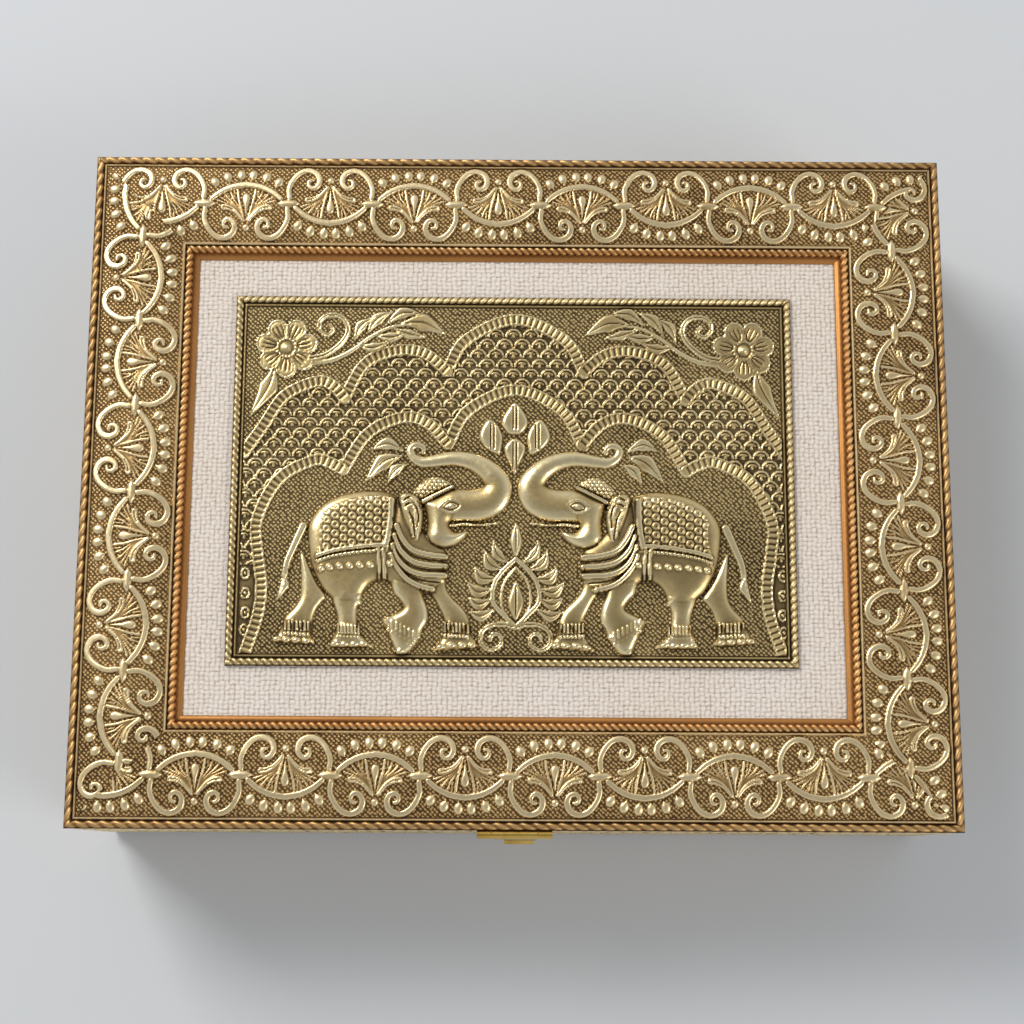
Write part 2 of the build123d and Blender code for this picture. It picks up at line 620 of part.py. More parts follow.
def catch():
    """Plate on the base with the half-round bead that the tongue closes over."""
    face_y = FACE_INSET - BOX_D / 2
    low_z, top_z = CATCH_Z
    plate = block((-CATCH_HALF_W, face_y - SHEET_T, low_z), (CATCH_HALF_W, face_y, top_z))
    plate = fillet(plate.edges().filter_by(Axis.Y), CATCH_CORNER_R)
    bead = along_x(BEAD_R, -BEAD_HALF_W, BEAD_HALF_W, face_y - SHEET_T, BEAD_Z)
    front_half = block((-CATCH_HALF_W, face_y - 2 * BEAD_R, low_z), (CATCH_HALF_W, face_y - SHEET_T / 2, top_z))
    parts["catch_plate"] = plate + (bead & front_half)
    parts["catch_nails"] = nail_pair(CATCH_NAIL_AT)


def cut_back_edges():
    """Chamfer the back edges and sink the hinges, in every piece that meets them."""
    cutters = [back_groove()] + hinge_sinks()
    for name in ("base_wall_back", "base_cladding_back", "lid_rim_back", "lid_cladding_back"):
        for cutter in cutters:
            parts[name] -= cutter
    for name in ("base_wall_left", "base_wall_right", "base_cladding_left", "base_cladding_right",
                 "lid_rim_left", "lid_rim_right", "lid_cladding_left", "lid_cladding_right"):
        parts[name] -= cutters[0]


base_carcass()
base_lining()
dividers()
lid_carcass()
lid_top()
hinges()
hinge_screws()
hasp()
catch()
cut_back_edges()

for name, shape in parts.items():
    shape.label = name
    export_step(shape, f"parts/{name}.step")
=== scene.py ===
import bpy
import math
import numpy as np
from mathutils import Matrix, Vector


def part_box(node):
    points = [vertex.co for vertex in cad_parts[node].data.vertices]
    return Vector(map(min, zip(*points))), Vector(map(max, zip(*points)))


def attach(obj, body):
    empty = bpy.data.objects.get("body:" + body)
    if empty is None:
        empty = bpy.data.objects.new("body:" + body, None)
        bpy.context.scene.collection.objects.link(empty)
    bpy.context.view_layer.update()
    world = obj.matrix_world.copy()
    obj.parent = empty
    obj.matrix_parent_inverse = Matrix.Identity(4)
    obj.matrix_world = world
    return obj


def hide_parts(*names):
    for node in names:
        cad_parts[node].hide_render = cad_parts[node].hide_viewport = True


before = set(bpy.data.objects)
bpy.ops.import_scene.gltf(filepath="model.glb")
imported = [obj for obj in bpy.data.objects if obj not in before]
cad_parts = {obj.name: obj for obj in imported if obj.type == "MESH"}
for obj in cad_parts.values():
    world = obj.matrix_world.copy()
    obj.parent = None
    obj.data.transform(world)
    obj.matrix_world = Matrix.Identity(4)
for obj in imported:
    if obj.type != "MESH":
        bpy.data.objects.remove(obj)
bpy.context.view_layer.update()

MM = 0.001
SHARP = 1.2
DOT_PITCH = 1.0

# Sizes of the CAD model, in millimetres
BOX_W, BOX_D, BOX_H = 254.0, 200.0, 66.0
FABRIC_TOP = 62.4
PLAQUE_AT = (-1.0, 1.5)
PLAQUE_W, PLAQUE_D = 165.0, 110.5
RAIL_W = 32.0
ROPE = 2.3

# Spacing of the relief grids
RAIL_GRID = 0.30
SIDE_GRID = 0.42
LID_SIDE_GRID = 0.30
PLAQUE_GRID = 0.33

SIDE_TURNS = {"front": 0, "right": 90, "back": 180, "left": -90}


def side_sizes(side):
    """Length of a side of the box, and how far its face stands from the centre."""
    if side in ("front", "back"):
        return BOX_W, BOX_D / 2
    return BOX_D, BOX_W / 2


# Curves and distances

def smooth(points, closed=False, steps=6):
    """Catmull-Rom curve through given points."""
    p = np.array(points, float)
    n = len(p)
    if closed:
        idx = [(i - 1, i, (i + 1) % n, (i + 2) % n) for i in range(n)]
    else:
        p = np.vstack([2 * p[0] - p[1], p, 2 * p[-1] - p[-2]])
        idx = [(i, i + 1, i + 2, i + 3) for i in range(n - 1)]
    t = np.linspace(0, 1, steps, endpoint=False)[:, None]
    out = []
    for a, b, c, d in idx:
        a, b, c, d = p[a], p[b], p[c], p[d]
        out.append(0.5 * (2 * b + (c - a) * t + (2 * a - 5 * b + 4 * c - d) * t ** 2
                          + (3 * b - a - 3 * c + d) * t ** 3))
    if not closed:
        out.append(p[-2][None])
    return np.vstack(out)


def near(x, y, path, widths):
    """Distance to a path less its varying half width, and how far along it the nearest point is."""
    best = np.full(x.shape, 1e9)
    along = np.zeros(x.shape)
    half = np.ones(x.shape)
    walked = 0.0
    for k in range(len(path) - 1):
        ax, ay = path[k]
        dx, dy = path[k + 1] - path[k]
        size = dx * dx + dy * dy + 1e-12
        t = np.clip(((x - ax) * dx + (y - ay) * dy) / size, 0, 1)
        r = widths[k] + (widths[k + 1] - widths[k]) * t
        d = np.hypot(x - ax - t * dx, y - ay - t * dy) / r
        closer = d < best
        best = np.where(closer, d, best)
        length = math.sqrt(size)
        along = np.where(closer, walked + t * length, along)
        half = np.where(closer, r, half)
        walked += length
    return best, along, half


def inside_distance(x, y, ring):
    """Distance to the edge of a closed outline, positive inside."""
    best = np.full(x.shape, 1e9)
    within = np.zeros(x.shape, bool)
    for a, b in zip(ring, np.roll(ring, -1, axis=0)):
        dx, dy = b - a
        t = np.clip(((x - a[0]) * dx + (y - a[1]) * dy) / (dx * dx + dy * dy + 1e-12), 0, 1)
        best = np.minimum(best, np.hypot(x - a[0] - t * dx, y - a[1] - t * dy))
        crosses = (a[1] > y) != (b[1] > y)
        slope = dx / (dy if dy else 1e-9)
        within ^= crosses & (x < a[0] + (y - a[1]) * slope)
    return np.where(within, best, -best)


class Relief:
    """Heights over a grid of points in millimetres, drawn as a chaser would, shape over shape."""

    def __init__(self, x, y):
        self.x, self.y = x, y
        self.h = np.zeros(x.shape)
        self.shine = np.zeros(x.shape)

    def window(self, path, margin):
        lo, hi = path.min(0) - margin, path.max(0) + margin
        return (self.x > lo[0]) & (self.x < hi[0]) & (self.y > lo[1]) & (self.y < hi[1])

    def stroke(self, points, r0, r1=None, high=0.6, lift=0.0, closed=False, mid=None, curve=True, shine=0.5,
               dig=False, beads=0.0):
        """A ridge with a flattened top, or with dig a rounded groove, along a path."""
        path = smooth(points, closed) if curve and len(points) > 2 else np.array(points, float)
        if closed:
            path = np.vstack([path, path[:1]])
        t = np.linspace(0, 1, len(path))
        r1 = r0 if r1 is None else r1
        widths = r0 + (r1 - r0) * t
        if mid is not None:
            widths = np.interp(t, [0, 0.5, 1], [r0, mid, r1])
        m = self.window(path, widths.max() + 0.2)
        if not m.any():
            return
        d, along, half = near(self.x[m], self.y[m], path, np.maximum(widths, 0.05))
        bump = np.minimum(1, 1.45 * np.sqrt(np.clip(1 - d * d, 0, 1)))
        if beads:
            bump = bump * (0.72 + 0.28 * np.cos(along * 2 * math.pi / beads))
        if dig:
            self.h[m] -= high * np.clip(1 - d * d, 0, 1)
            return
        top = np.where(d < 1, lift + high * bump, -9)
        self.h[m] = np.maximum(self.h[m], top)
        self.shine[m] = np.where(d < 1, np.maximum(self.shine[m], shine), self.shine[m])

    def dome(self, points, high, edge, lift=0.0, curve=True, shine=1.0):
        """A filled outline that rises from its edge over a given width."""
        ring = smooth(points, True) if curve else np.array(points, float)
        m = self.window(ring, 0.3)
        if not m.any():
            return
        d = inside_distance(self.x[m], self.y[m], ring)
        t = np.clip(d / edge, 0, 1)
        top = lift + high * np.sqrt(np.clip(1 - (1 - t) ** 2, 0, 1))
        inside = d > 0
        self.h[m] = np.maximum(self.h[m], np.where(inside, top, -9))
        self.shine[m] = np.where(inside, shine, self.shine[m])

    def oval(self, cx, cy, rx, ry, high, turn=0.0, lift=0.0, shine=0.5):
        c, s = math.cos(turn), math.sin(turn)
        m = (np.abs(self.x - cx) < max(rx, ry) + 0.2) & (np.abs(self.y - cy) < max(rx, ry) + 0.2)
        u = (self.x[m] - cx) * c + (self.y[m] - cy) * s
        v = (self.y[m] - cy) * c - (self.x[m] - cx) * s
        d = (u / rx) ** 2 + (v / ry) ** 2
        top = np.where(d < 1, lift + high * np.clip(1 - d, 0, 1) ** 0.5, -9)
        self.h[m] = np.maximum(self.h[m], top)
        self.shine[m] = np.where(d < 1, np.maximum(self.shine[m], shine), self.shine[m])

    def leaf(self, points, wide, high=0.6, lift=0.0, shine=0.6):
        """A pointed blade about a curved midrib, with a groove along the rib."""
        self.stroke(points, 0.12, 0.12, high, lift, mid=wide, shine=shine)
        self.stroke(points, 0.1, 0.1, high * 0.45, mid=min(0.3, wide * 0.3), dig=True)


def granules(x, y, pitch, radius, high):
    """Close-set punched dots in offset rows."""
    row = np.round(y / (pitch * 0.87))
    shift = np.where(row % 2 == 0, 0, pitch / 2)
    dx = x - shift - np.round((x - shift) / pitch) * pitch
    dy = y - row * pitch * 0.87
    d = (dx * dx + dy * dy) / radius ** 2
    return high * np.clip(1 - d, 0, 1) ** 0.5


def blurred(h, reach):
    """Box blur by running sums."""
    for axis in (0, 1):
        pad = [(0, 0), (0, 0)]
        pad[axis] = (reach + 1, reach)
        run = np.cumsum(np.pad(h, pad, mode="edge"), axis=axis)
        n = h.shape[axis]
        upper = np.take(run, range(2 * reach + 1, 2 * reach + 1 + n), axis=axis)
        lower = np.take(run, range(0, n), axis=axis)
        h = (upper - lower) / (2 * reach + 1)
    return h


def exposure(h, grid):
    """0 in the recesses, where patina stays, to 1 on the rubbed high points."""
    fine = h - blurred(h, max(1, round(0.8 / grid)))
    broad = h - blurred(h, max(2, round(3.0 / grid)))
    return np.clip(0.45 + fine * 1.3 + broad * 0.55, 0, 1)


# Scroll and palmette motif of the rails, one unit in millimetres: p along, w towards its arch

SCROLL = [(12.4, -1.9), (12.6, -4.7), (11.3, -7.8), (9.2, -10.0), (6.7, -10.7), (4.3, -9.6), (3.4, -7.4),
          (4.1, -5.5), (5.6, -4.9), (6.7, -5.9), (6.5, -7.3), (5.4, -7.5)]
ARCH = [(0.0, 6.05), (4.2, 5.3), (7.8, 3.6), (10.4, 1.5)]
DROPS = [((1.8, 9.2), (1.6, 7.2)), ((5.9, 8.6), (5.2, 6.7)), ((9.7, 6.9), (8.7, 5.2))]
SIDE_LEAF = [(0.9, -5.4), (2.4, -3.4), (3.7, -2.2), (5.4, -1.4), (6.9, -1.2)]
FLANK = [(0.5, -5.4), (1.3, -2.0), (2.2, 1.0), (2.7, 4.3)]
RIBS = [
    [(3.5, 2.0), (3.7, 4.5)],
    [(0.7, -4.8), (2.2, -1.0), (4.0, 1.6), (4.9, 4.1)],
    [(0.9, -4.5), (2.8, -1.0), (5.2, 1.3), (6.8, 3.3)],
    [(1.1, -4.1), (3.4, -0.9), (6.0, 0.8), (8.2, 2.1)],
    [(1.2, -3.8), (3.6, -1.3), (6.4, 0.1), (8.8, 1.0)],
]
TEARDROP = [(0.0, 3.3), (0.95, 2.8), (1.35, 1.6), (1.1, 0.2), (0.6, -1.6), (0.28, -4.0), (0.0, -5.8),
            (-0.28, -4.0), (-0.6, -1.6), (-1.1, 0.2), (-1.35, 1.6), (-0.95, 2.8)]
KNOT = [(8.95, 0.0), (10.6, 1.25), (12.7, 1.6), (14.8, 1.25), (16.45, 0.0), (14.8, -1.25), (12.7, -1.6),
        (10.6, -1.25)]


def scroll_unit(p, w):
    """One palmette under its arch, between two scrolls; p is not negative."""
    r = Relief(p, w)
    r.h -= 9
    for rib in RIBS:
        r.stroke(rib, 0.24, 0.36, 0.5, shine=0.55)
    r.stroke(FLANK, 0.30, 0.46, 0.65, shine=0.7)
    r.stroke(ARCH, 1.02, 0.85, 0.95, shine=0.9)
    r.stroke(SIDE_LEAF, 0.45, 1.0, 0.8, shine=0.75)
    r.stroke(SIDE_LEAF[2:], 0.12, 0.3, 0.4, dig=True)
    r.dome(TEARDROP, 0.85, 0.9, shine=0.7)
    r.oval(0, -7.5, 1.15, 1.15, 0.85, shine=0.8)
    r.stroke(SCROLL, 0.85, 0.50, 0.9, mid=1.02, shine=0.8)
    for (x, y), tail in DROPS:
        r.oval(x, y, 1.42, 1.75, 0.85, turn=-0.06 * x, shine=0.8)
        r.stroke([(x, y), tail], 0.9, 0.12, 0.6, shine=0.6)
    r.dome(KNOT, 1.0, 1.5, curve=False, shine=0.9)
    return r


def scroll_band(u, v, pitch, start, scale=1.0):
    """Running band of units that point up and down in turn; v is the height over the mid line."""
    u, v, pitch, start = u / scale, v / scale, pitch / scale, start / scale
    stretch = 25.4 / pitch
    k = np.round((u - start) / pitch)
    p = np.abs(u - start - k * pitch) * stretch
    w = np.where(k % 2 == 0, v, -v)
    one = scroll_unit(p, w)
    two = scroll_unit(25.4 - p, -w)
    h = np.maximum(one.h, two.h) * scale
    return h, np.maximum(one.shine, two.shine)


def rope(u, across, half, high, pitch=3.7, slant=0.8):
    """Twisted cord: a round ridge with slanting grooves. across runs from -half to half."""
    t = np.clip(1 - (across / half) ** 2, 0, 1) ** 0.5
    twist = np.cos(2 * math.pi * (u / pitch + slant * across / (2 * half)))
    return high * t + 0.25 * twist * (t > 0.15)


def ridge(s, at, half, high):
    return high * np.clip(1 - ((s - at) / half) ** 2, 0, 1) ** 0.5


# Meshes

def closed_strip(name, grid_points, attributes, material):
    """A closed solid from rows of points: the last row joins the first, and both ends are capped."""
    rows, cols = grid_points.shape[:2]
    verts = grid_points.reshape(-1, 3) * MM
    i, j = np.meshgrid(np.arange(rows), np.arange(cols - 1), indexing="ij")
    a = i * cols + j
    b = ((i + 1) % rows) * cols + j
    quads = np.stack([a, a + 1, b + 1, b], -1).reshape(-1, 4)
    mesh = bpy.data.meshes.new(name)
    start_cap = list(range(0, rows * cols, cols))
    end_cap = [k + cols - 1 for k in reversed(start_cap)]
    mesh.from_pydata(verts.tolist(), [], quads.tolist() + [start_cap, end_cap])
    finish_mesh(mesh, attributes, grid_points)
    obj = bpy.data.objects.new(name, mesh)
    bpy.context.scene.collection.objects.link(obj)
    mesh.materials.append(material)
    return obj


def finish_mesh(mesh, attributes, grid_points):
    """Per-point tone values and a flat map of the surface."""
    for key, values in attributes.items():
        layer = mesh.attributes.new(key, "FLOAT", "POINT")
        layer.data.foreach_set("value", np.ascontiguousarray(values.reshape(-1), dtype=np.float32))
    rows, cols = grid_points.shape[:2]
    steps = np.linalg.norm(np.diff(grid_points, axis=0), axis=2).mean(1)
    v = np.concatenate([[0], np.cumsum(steps)])
    along = np.linalg.norm(np.diff(grid_points, axis=1), axis=2).mean(0)
    u = np.concatenate([[0], np.cumsum(along)])
    size = max(u[-1], v[-1])
    uu, vv = np.meshgrid(u / size, v / size)
    flat = np.stack([uu.reshape(-1), vv.reshape(-1)], 1)
    loops = np.empty(len(mesh.loops), np.int32)
    mesh.loops.foreach_get("vertex_index", loops)
    layer = mesh.uv_layers.new(name="OFBake")
    layer.data.foreach_set("uv", flat[loops].astype(np.float32).reshape(-1))
    mesh.polygons.foreach_set("use_smooth", np.ones(len(mesh.polygons), bool))
    mesh.set_sharp_from_angle(angle=SHARP)
    mesh.update()


def turned(points, degrees):
    a = math.radians(degrees)
    c, s = math.cos(a), math.sin(a)
    out = points.copy()
    out[..., 0] = points[..., 0] * c - points[..., 1] * s
    out[..., 1] = points[..., 0] * s + points[..., 1] * c
    return out


def interp_profile(s, table):
    return np.interp(s, [t[0] for t in table], [t[1] for t in table])


# Materials

def new_material(name):
    mat = bpy.data.materials.new(name)
    mat.use_nodes = True
    tree = mat.node_tree
    return mat, tree, tree.nodes["Principled BSDF"]


def node(tree, kind, **values):
    n = tree.nodes.new(kind)
    for key, value in values.items():
        if key in n.inputs:
            n.inputs[key].default_value = value
        else:
            setattr(n, key, value)
    return n


def attribute(tree, name):
    return node(tree, "ShaderNodeAttribute", attribute_name=name).outputs["Fac"]


def ramp(tree, source, stops):
    n = tree.nodes.new("ShaderNodeValToRGB")
    cr = n.color_ramp
    while len(cr.elements) < len(stops):
        cr.elements.new(0.5)
    for e, (pos, colour) in zip(cr.elements, stops):
        e.position = pos
        e.color = (*colour, 1)
    tree.links.new(source, n.inputs["Fac"])
    return n.outputs["Color"]


def mixed(tree, fac, a, b, blend="MIX"):
    n = tree.nodes.new("ShaderNodeMix")
    n.data_type = "RGBA"
    n.blend_type = blend
    ports = [i for i in n.inputs if i.type == "RGBA"]
    fac_port = n.inputs[0]
    for port, value in ((fac_port, fac), (ports[0], a), (ports[1], b)):
        if hasattr(value, "links"):
            tree.links.new(value, port)
        elif port is fac_port:
            port.default_value = value
        else:
            port.default_value = (*value, 1)
    return [o for o in n.outputs if o.type == "RGBA"][0]


def scaled_noise(tree, scale, detail=3.0, rough=0.55, stretch=(1, 1, 1)):
    place = tree.nodes.new("ShaderNodeTexCoord")
    mapping = tree.nodes.new("ShaderNodeMapping")
    mapping.inputs["Scale"].default_value = stretch
    tree.links.new(place.outputs["Object"], mapping.inputs["Vector"])
    n = node(tree, "ShaderNodeTexNoise", Scale=scale, Detail=detail, Roughness=rough)
    tree.links.new(mapping.outputs["Vector"], n.inputs["Vector"])
    return n.outputs["Fac"]


def math_node(tree, operation, *values, clamp=False):
    n = tree.nodes.new("ShaderNodeMath")
    n.operation = operation
    n.use_clamp = clamp
    for port, value in zip(n.inputs, values):
        if hasattr(value, "links"):
            tree.links.new(value, port)
        else:
            port.default_value = value
    return n.outputs[0]


def bump(tree, shader, height, strength, distance):
    n = node(tree, "ShaderNodeBump", Strength=strength, Distance=distance)
    tree.links.new(height, n.inputs["Height"])
    tree.links.new(n.outputs["Normal"], shader.inputs["Normal"])


def patinated_metal(name, dark, mid, light, bright, rough=(0.55, 0.30), warm=(0.80, 0.47, 0.26)):
    """Stamped brass: patina by the exposure value, polish by the shine value, copper tint by warm."""
    mat, tree, shader = new_material(name)
    wear = attribute(tree, "exposure")
    shine = attribute(tree, "shine")
    tint = attribute(tree, "warm")
    cloud = scaled_noise(tree, 38.0, 4.0)
    fine = scaled_noise(tree, 900.0, 2.0)
    shift = math_node(tree, "MULTIPLY_ADD", cloud, 0.30, -0.15)
    lifted = math_node(tree, "MULTIPLY_ADD", shine, 0.17, -0.04)
    level = math_node(tree, "ADD", wear, math_node(tree, "ADD", shift, lifted), clamp=True)
    ground = attribute(tree, "ground")
    dots = punched_dots(tree)
    dotted = math_node(tree, "MULTIPLY_ADD", dots, 0.50, math_node(tree, "MULTIPLY", cloud, 0.36))
    level = mixed_value(tree, ground, level, dotted)
    colour = ramp(tree, level, [(0.12, dark), (0.42, mid), (0.72, light), (0.95, bright)])
    colour = mixed(tree, tint, colour, mixed(tree, 1.0, colour, warm, "MULTIPLY"))
    tree.links.new(colour, shader.inputs["Base Color"])
    polish = math_node(tree, "MULTIPLY", shine, 0.5)
    smoothness = math_node(tree, "ADD", polish, math_node(tree, "MULTIPLY", wear, 0.5))
    grain = math_node(tree, "MULTIPLY_ADD", fine, 0.16, -0.08)
    gloss = math_node(tree, "MULTIPLY_ADD", smoothness, rough[1] - rough[0], rough[0])
    tree.links.new(math_node(tree, "ADD", gloss, grain, clamp=True), shader.inputs["Roughness"])
    shader.inputs["Metallic"].default_value = 0.88
    raised = math_node(tree, "MULTIPLY", dots, ground)
    height = math_node(tree, "ADD", math_node(tree, "MULTIPLY", fine, 0.12), raised)
    bump(tree, shader, height, 0.75, 0.00032)
    return mat


def punched_dots(tree):
    """Round granules in slanting rows, 1 at their tops and 0 between them."""
    place = tree.nodes.new("ShaderNodeCombineXYZ")
    for axis, source in (("X", "along"), ("Y", "across")):
        tree.links.new(attribute(tree, source), place.inputs[axis])
    lattice = tree.nodes.new("ShaderNodeMapping")
    lattice.inputs["Rotation"].default_value = (0, 0, math.radians(45))
    lattice.inputs["Scale"].default_value = (1 / DOT_PITCH, 1 / DOT_PITCH, 1)
    tree.links.new(place.outputs["Vector"], lattice.inputs["Vector"])
    cells = node(tree, "ShaderNodeTexVoronoi", Scale=1.0, Randomness=0.38)
    cells.voronoi_dimensions = "2D"
    tree.links.new(lattice.outputs["Vector"], cells.inputs["Vector"])
    return ramp(tree, cells.outputs["Distance"], [(0.24, (1, 1, 1)), (0.50, (0, 0, 0))])


def mixed_value(tree, fac, a, b):
    n = tree.nodes.new("ShaderNodeMix")
    n.data_type = "FLOAT"
    for port, value in zip(n.inputs[:1] + n.inputs[2:4], (fac, a, b)):
        tree.links.new(value, port)
    return n.outputs[0]


def polished_brass(name):
    mat, tree, shader = new_material(name)
    cloud = scaled_noise(tree, 120.0, 3.0)
    stops = [(0.3, (0.50, 0.29, 0.05)), (0.55, (0.72, 0.47, 0.11)), (0.8, (0.84, 0.60, 0.19))]
    colour = ramp(tree, cloud, stops)
    tree.links.new(colour, shader.inputs["Base Color"])
    shader.inputs["Metallic"].default_value = 1.0
    fine = scaled_noise(tree, 1500.0, 2.0, stretch=(1, 8, 8))
    rough = math_node(tree, "MULTIPLY_ADD", fine, 0.16, 0.22)
    tree.links.new(rough, shader.inputs["Roughness"])
    bump(tree, shader, fine, 0.08, 0.00008)
    return mat


def stained_wood(name):
    mat, tree, shader = new_material(name)
    grain = scaled_noise(tree, 60.0, 6.0, 0.65, (0.35, 6, 6))
    stops = [(0.3, (0.10, 0.045, 0.018)), (0.5, (0.20, 0.10, 0.045)), (0.72, (0.33, 0.185, 0.085))]
    colour = ramp(tree, grain, stops)
    tree.links.new(colour, shader.inputs["Base Color"])
    shader.inputs["Roughness"].default_value = 0.55
    bump(tree, shader, grain, 0.3, 0.0003)
    return mat


def velvet(name, dark, light):
    mat, tree, shader = new_material(name)
    nap = scaled_noise(tree, 45.0, 3.0)
    pile = scaled_noise(tree, 2600.0, 2.0)
    tone = mixed(tree, 0.35, ramp(tree, nap, [(0.1, dark), (0.95, light)]),
                 ramp(tree, pile, [(0.35, dark), (0.7, light)]))
    # The ground value darkens the velvet along the quilted seams: painted shade in the stitched grooves.
    painted_seam_shade = attribute(tree, "ground")
    tone = mixed(tree, painted_seam_shade, tone, tuple(c * 0.35 for c in dark))
    tree.links.new(tone, shader.inputs["Base Color"])
    shader.inputs["Roughness"].default_value = 0.9
    shader.inputs["Sheen Weight"].default_value = 0.6
    shader.inputs["Sheen Roughness"].default_value = 0.4
    shader.inputs["Sheen Tint"].default_value = (0.95, 0.55, 0.55, 1)
    bump(tree, shader, pile, 0.5, 0.0003)
    return mat


def basket_weave(name):
    """Off-white cloth, with painted light on its threads' crowns and painted shade where they dip."""
    mat, tree, shader = new_material(name)
    # crown: the weave's painted light on the thread crowns and painted shade in the dips, read from the
    # exposure value.
    crown = attribute(tree, "exposure")
    slub = scaled_noise(tree, 500.0, 3.0, stretch=(1, 4, 1))
    cloud = scaled_noise(tree, 25.0, 3.0)
    level = math_node(tree, "MULTIPLY_ADD", slub, 0.6, crown)
    level = math_node(tree, "SUBTRACT", level, 0.26, clamp=True)
    stops = [(0.05, (0.40, 0.31, 0.24)), (0.30, (0.66, 0.57, 0.49)), (0.65, (0.88, 0.82, 0.76))]
    weave_tone_and_painted_light = ramp(tree, level, stops)
    colour = mixed(tree, 0.25, weave_tone_and_painted_light, mixed(tree, 1.0, weave_tone_and_painted_light, (0.93, 0.90, 0.86), "MULTIPLY"))
    tint = ramp(tree, cloud, [(0.3, (0.97, 0.95, 0.92)), (0.7, (1.0, 1.0, 1.0))])
    tree.links.new(mixed(tree, 1.0, colour, tint, "MULTIPLY"), shader.inputs["Base Color"])
    shader.inputs["Roughness"].default_value = 0.85
    shader.inputs["Sheen Weight"].default_value = 0.15
    bump(tree, shader, scaled_noise(tree, 3000.0, 2.0), 0.5, 0.00015)
    return mat


# Metals have four tones, from the patina in the recesses to the rubbed high points
FRAME_METAL = patinated_metal("antique_gold", (0.075, 0.040, 0.016), (0.33, 0.20, 0.078),
                              (0.68, 0.475, 0.210), (0.94, 0.76, 0.44))
PLAQUE_METAL = patinated_metal("antique_brass", (0.060, 0.040, 0.018), (0.31, 0.22, 0.094),
                               (0.68, 0.515, 0.240), (0.95, 0.80, 0.47), rough=(0.54, 0.24))
BRIGHT = polished_brass("polished_brass")
WOOD = stained_wood("stained_wood")
VELVET = velvet("wine_velvet", (0.085, 0.006, 0.012), (0.23, 0.018, 0.032))
FELT = velvet("dark_felt", (0.012, 0.011, 0.010), (0.035, 0.032, 0.030))
CLOTH = basket_weave("basket_cloth")


# Lid rails

# Height of the moulding under its ornament, by distance in from the rope edge
RAIL_PROFILE = [(0.0, 63.9), (2.3, 64.0), (3.2, 64.5), (8.0, 65.1), (15.1, 65.4), (22.0, 65.1), (27.0, 64.5),
                (27.9, 64.0), (30.2, 63.8), (30.7, 63.3), (31.2, 63.0), (32.0, 62.8)]
# pitch of the units and where one with its arch outwards stands
RAIL_UNITS = {"front": (25.4, -14.1), "back": (25.2, -19.4), "left": (26.0, 16.5), "right": (25.6, 7.2)}
FIELD_MID = 15.1


def rail(side):
    length, face = side_sizes(side)
    s = np.arange(0, RAIL_W + 1e-6, RAIL_GRID)
    cols = int(length / RAIL_GRID) + 1
    t = np.linspace(-1, 1, cols)
    ss, tt = np.meshgrid(s, t, indexing="ij")
    u = tt * (length / 2 - ss)
    pitch, start = RAIL_UNITS[side]
    base = interp_profile(ss, RAIL_PROFILE)
    h, shine = scroll_band(u, FIELD_MID - ss, pitch, start)
    field = (ss > 3.3) & (ss < 26.9)
    ground = field & (h < 0.08)
    h = np.where(field, np.maximum(h, 0), 0)
    shine = np.where(field & ~ground, shine, 0)
    h = h + rope(u, ss - ROPE / 2, ROPE / 2, 1.0) * (ss <= ROPE)
    h = h + ridge(ss, 2.85, 0.42, 0.75) + ridge(ss, 27.4, 0.42, 0.75)
    h = h + rope(u, ss - 29.05, 1.15, 0.75, 2.2) * (np.abs(ss - 29.05) <= 1.15)
    shine = np.maximum(shine, 0.8 * ((np.abs(ss - 2.85) < 0.4) | (np.abs(ss - 27.4) < 0.4)))
    tone = exposure(h, RAIL_GRID) - 0.27 * (ss < ROPE) - 0.10 * (ss > 27.9) + 0.45 * (ss > 30.1)
    warm = 0.85 * np.clip((ss - 27.8) / 1.5, 0, 1) + 0.30 * (ss < ROPE)
    z = base + h * 0.9
    under_rows = [(0.0, 61.6), (0.0, 62.8)]
    inner_rows = [(RAIL_W, 62.45), (28.0, 62.45), (28.0, 61.6)]

    def plain_row(inset, height):
        return np.stack([t * (length / 2 - inset), np.full(cols, inset - face), np.full(cols, height)], -1)

    rows = [plain_row(*r) for r in under_rows]
    rows += [np.stack([u[k], ss[k] - face, z[k]], -1) for k in range(len(s))]
    rows += [plain_row(*r) for r in inner_rows]
    points = turned(np.stack(rows), SIDE_TURNS[side])

    def padded(values, value):
        before = np.full((len(under_rows), cols), value)
        after = np.full((len(inner_rows), cols), 2 * value)
        return np.vstack([before, values, after])

    tones = {"exposure": padded(tone, 0.3), "shine": padded(shine, 0.0),
             "warm": padded(np.clip(warm, 0, 1), 0.3), "ground": padded(ground, 0.0),
             "along": padded(u, 0.0), "across": padded(ss, 0.0)}
    obj = closed_strip(f"stamped_rail_{side}", points, tones, FRAME_METAL)
    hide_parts(f"frame_rail_{side}")
    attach(obj, "lid")
    return obj


# Side cladding of base and lid

SPLIT, GROOVE_Y, GROOVE_SLOPE = 46.0, BOX_D / 2 - 2.5, math.tan(math.radians(52.5))


SHEET_FACE, SHEET_BACK = 0.75, 1.45


def clear_of_groove(rows, gap=0.2):
    """Squeezes heights near the back edge, so nothing stands in the V groove where the lid turns."""
    low, high = rows[..., 2].min(), rows[..., 2].max()
    drop = gap + np.clip(rows[..., 1] - GROOVE_Y, 0, None) * GROOVE_SLOPE
    z = rows[..., 2]
    if low < SPLIT - 1:
        top = np.minimum(high, SPLIT - drop)
        squeezed = low + (z - low) * (top - low) / (high - low)
    else:
        bottom = np.maximum(low, SPLIT + drop)
        squeezed = high - (high - z) * (high - bottom) / (high - low)
    return np.concatenate([rows[..., :2], squeezed[..., None]], -1)


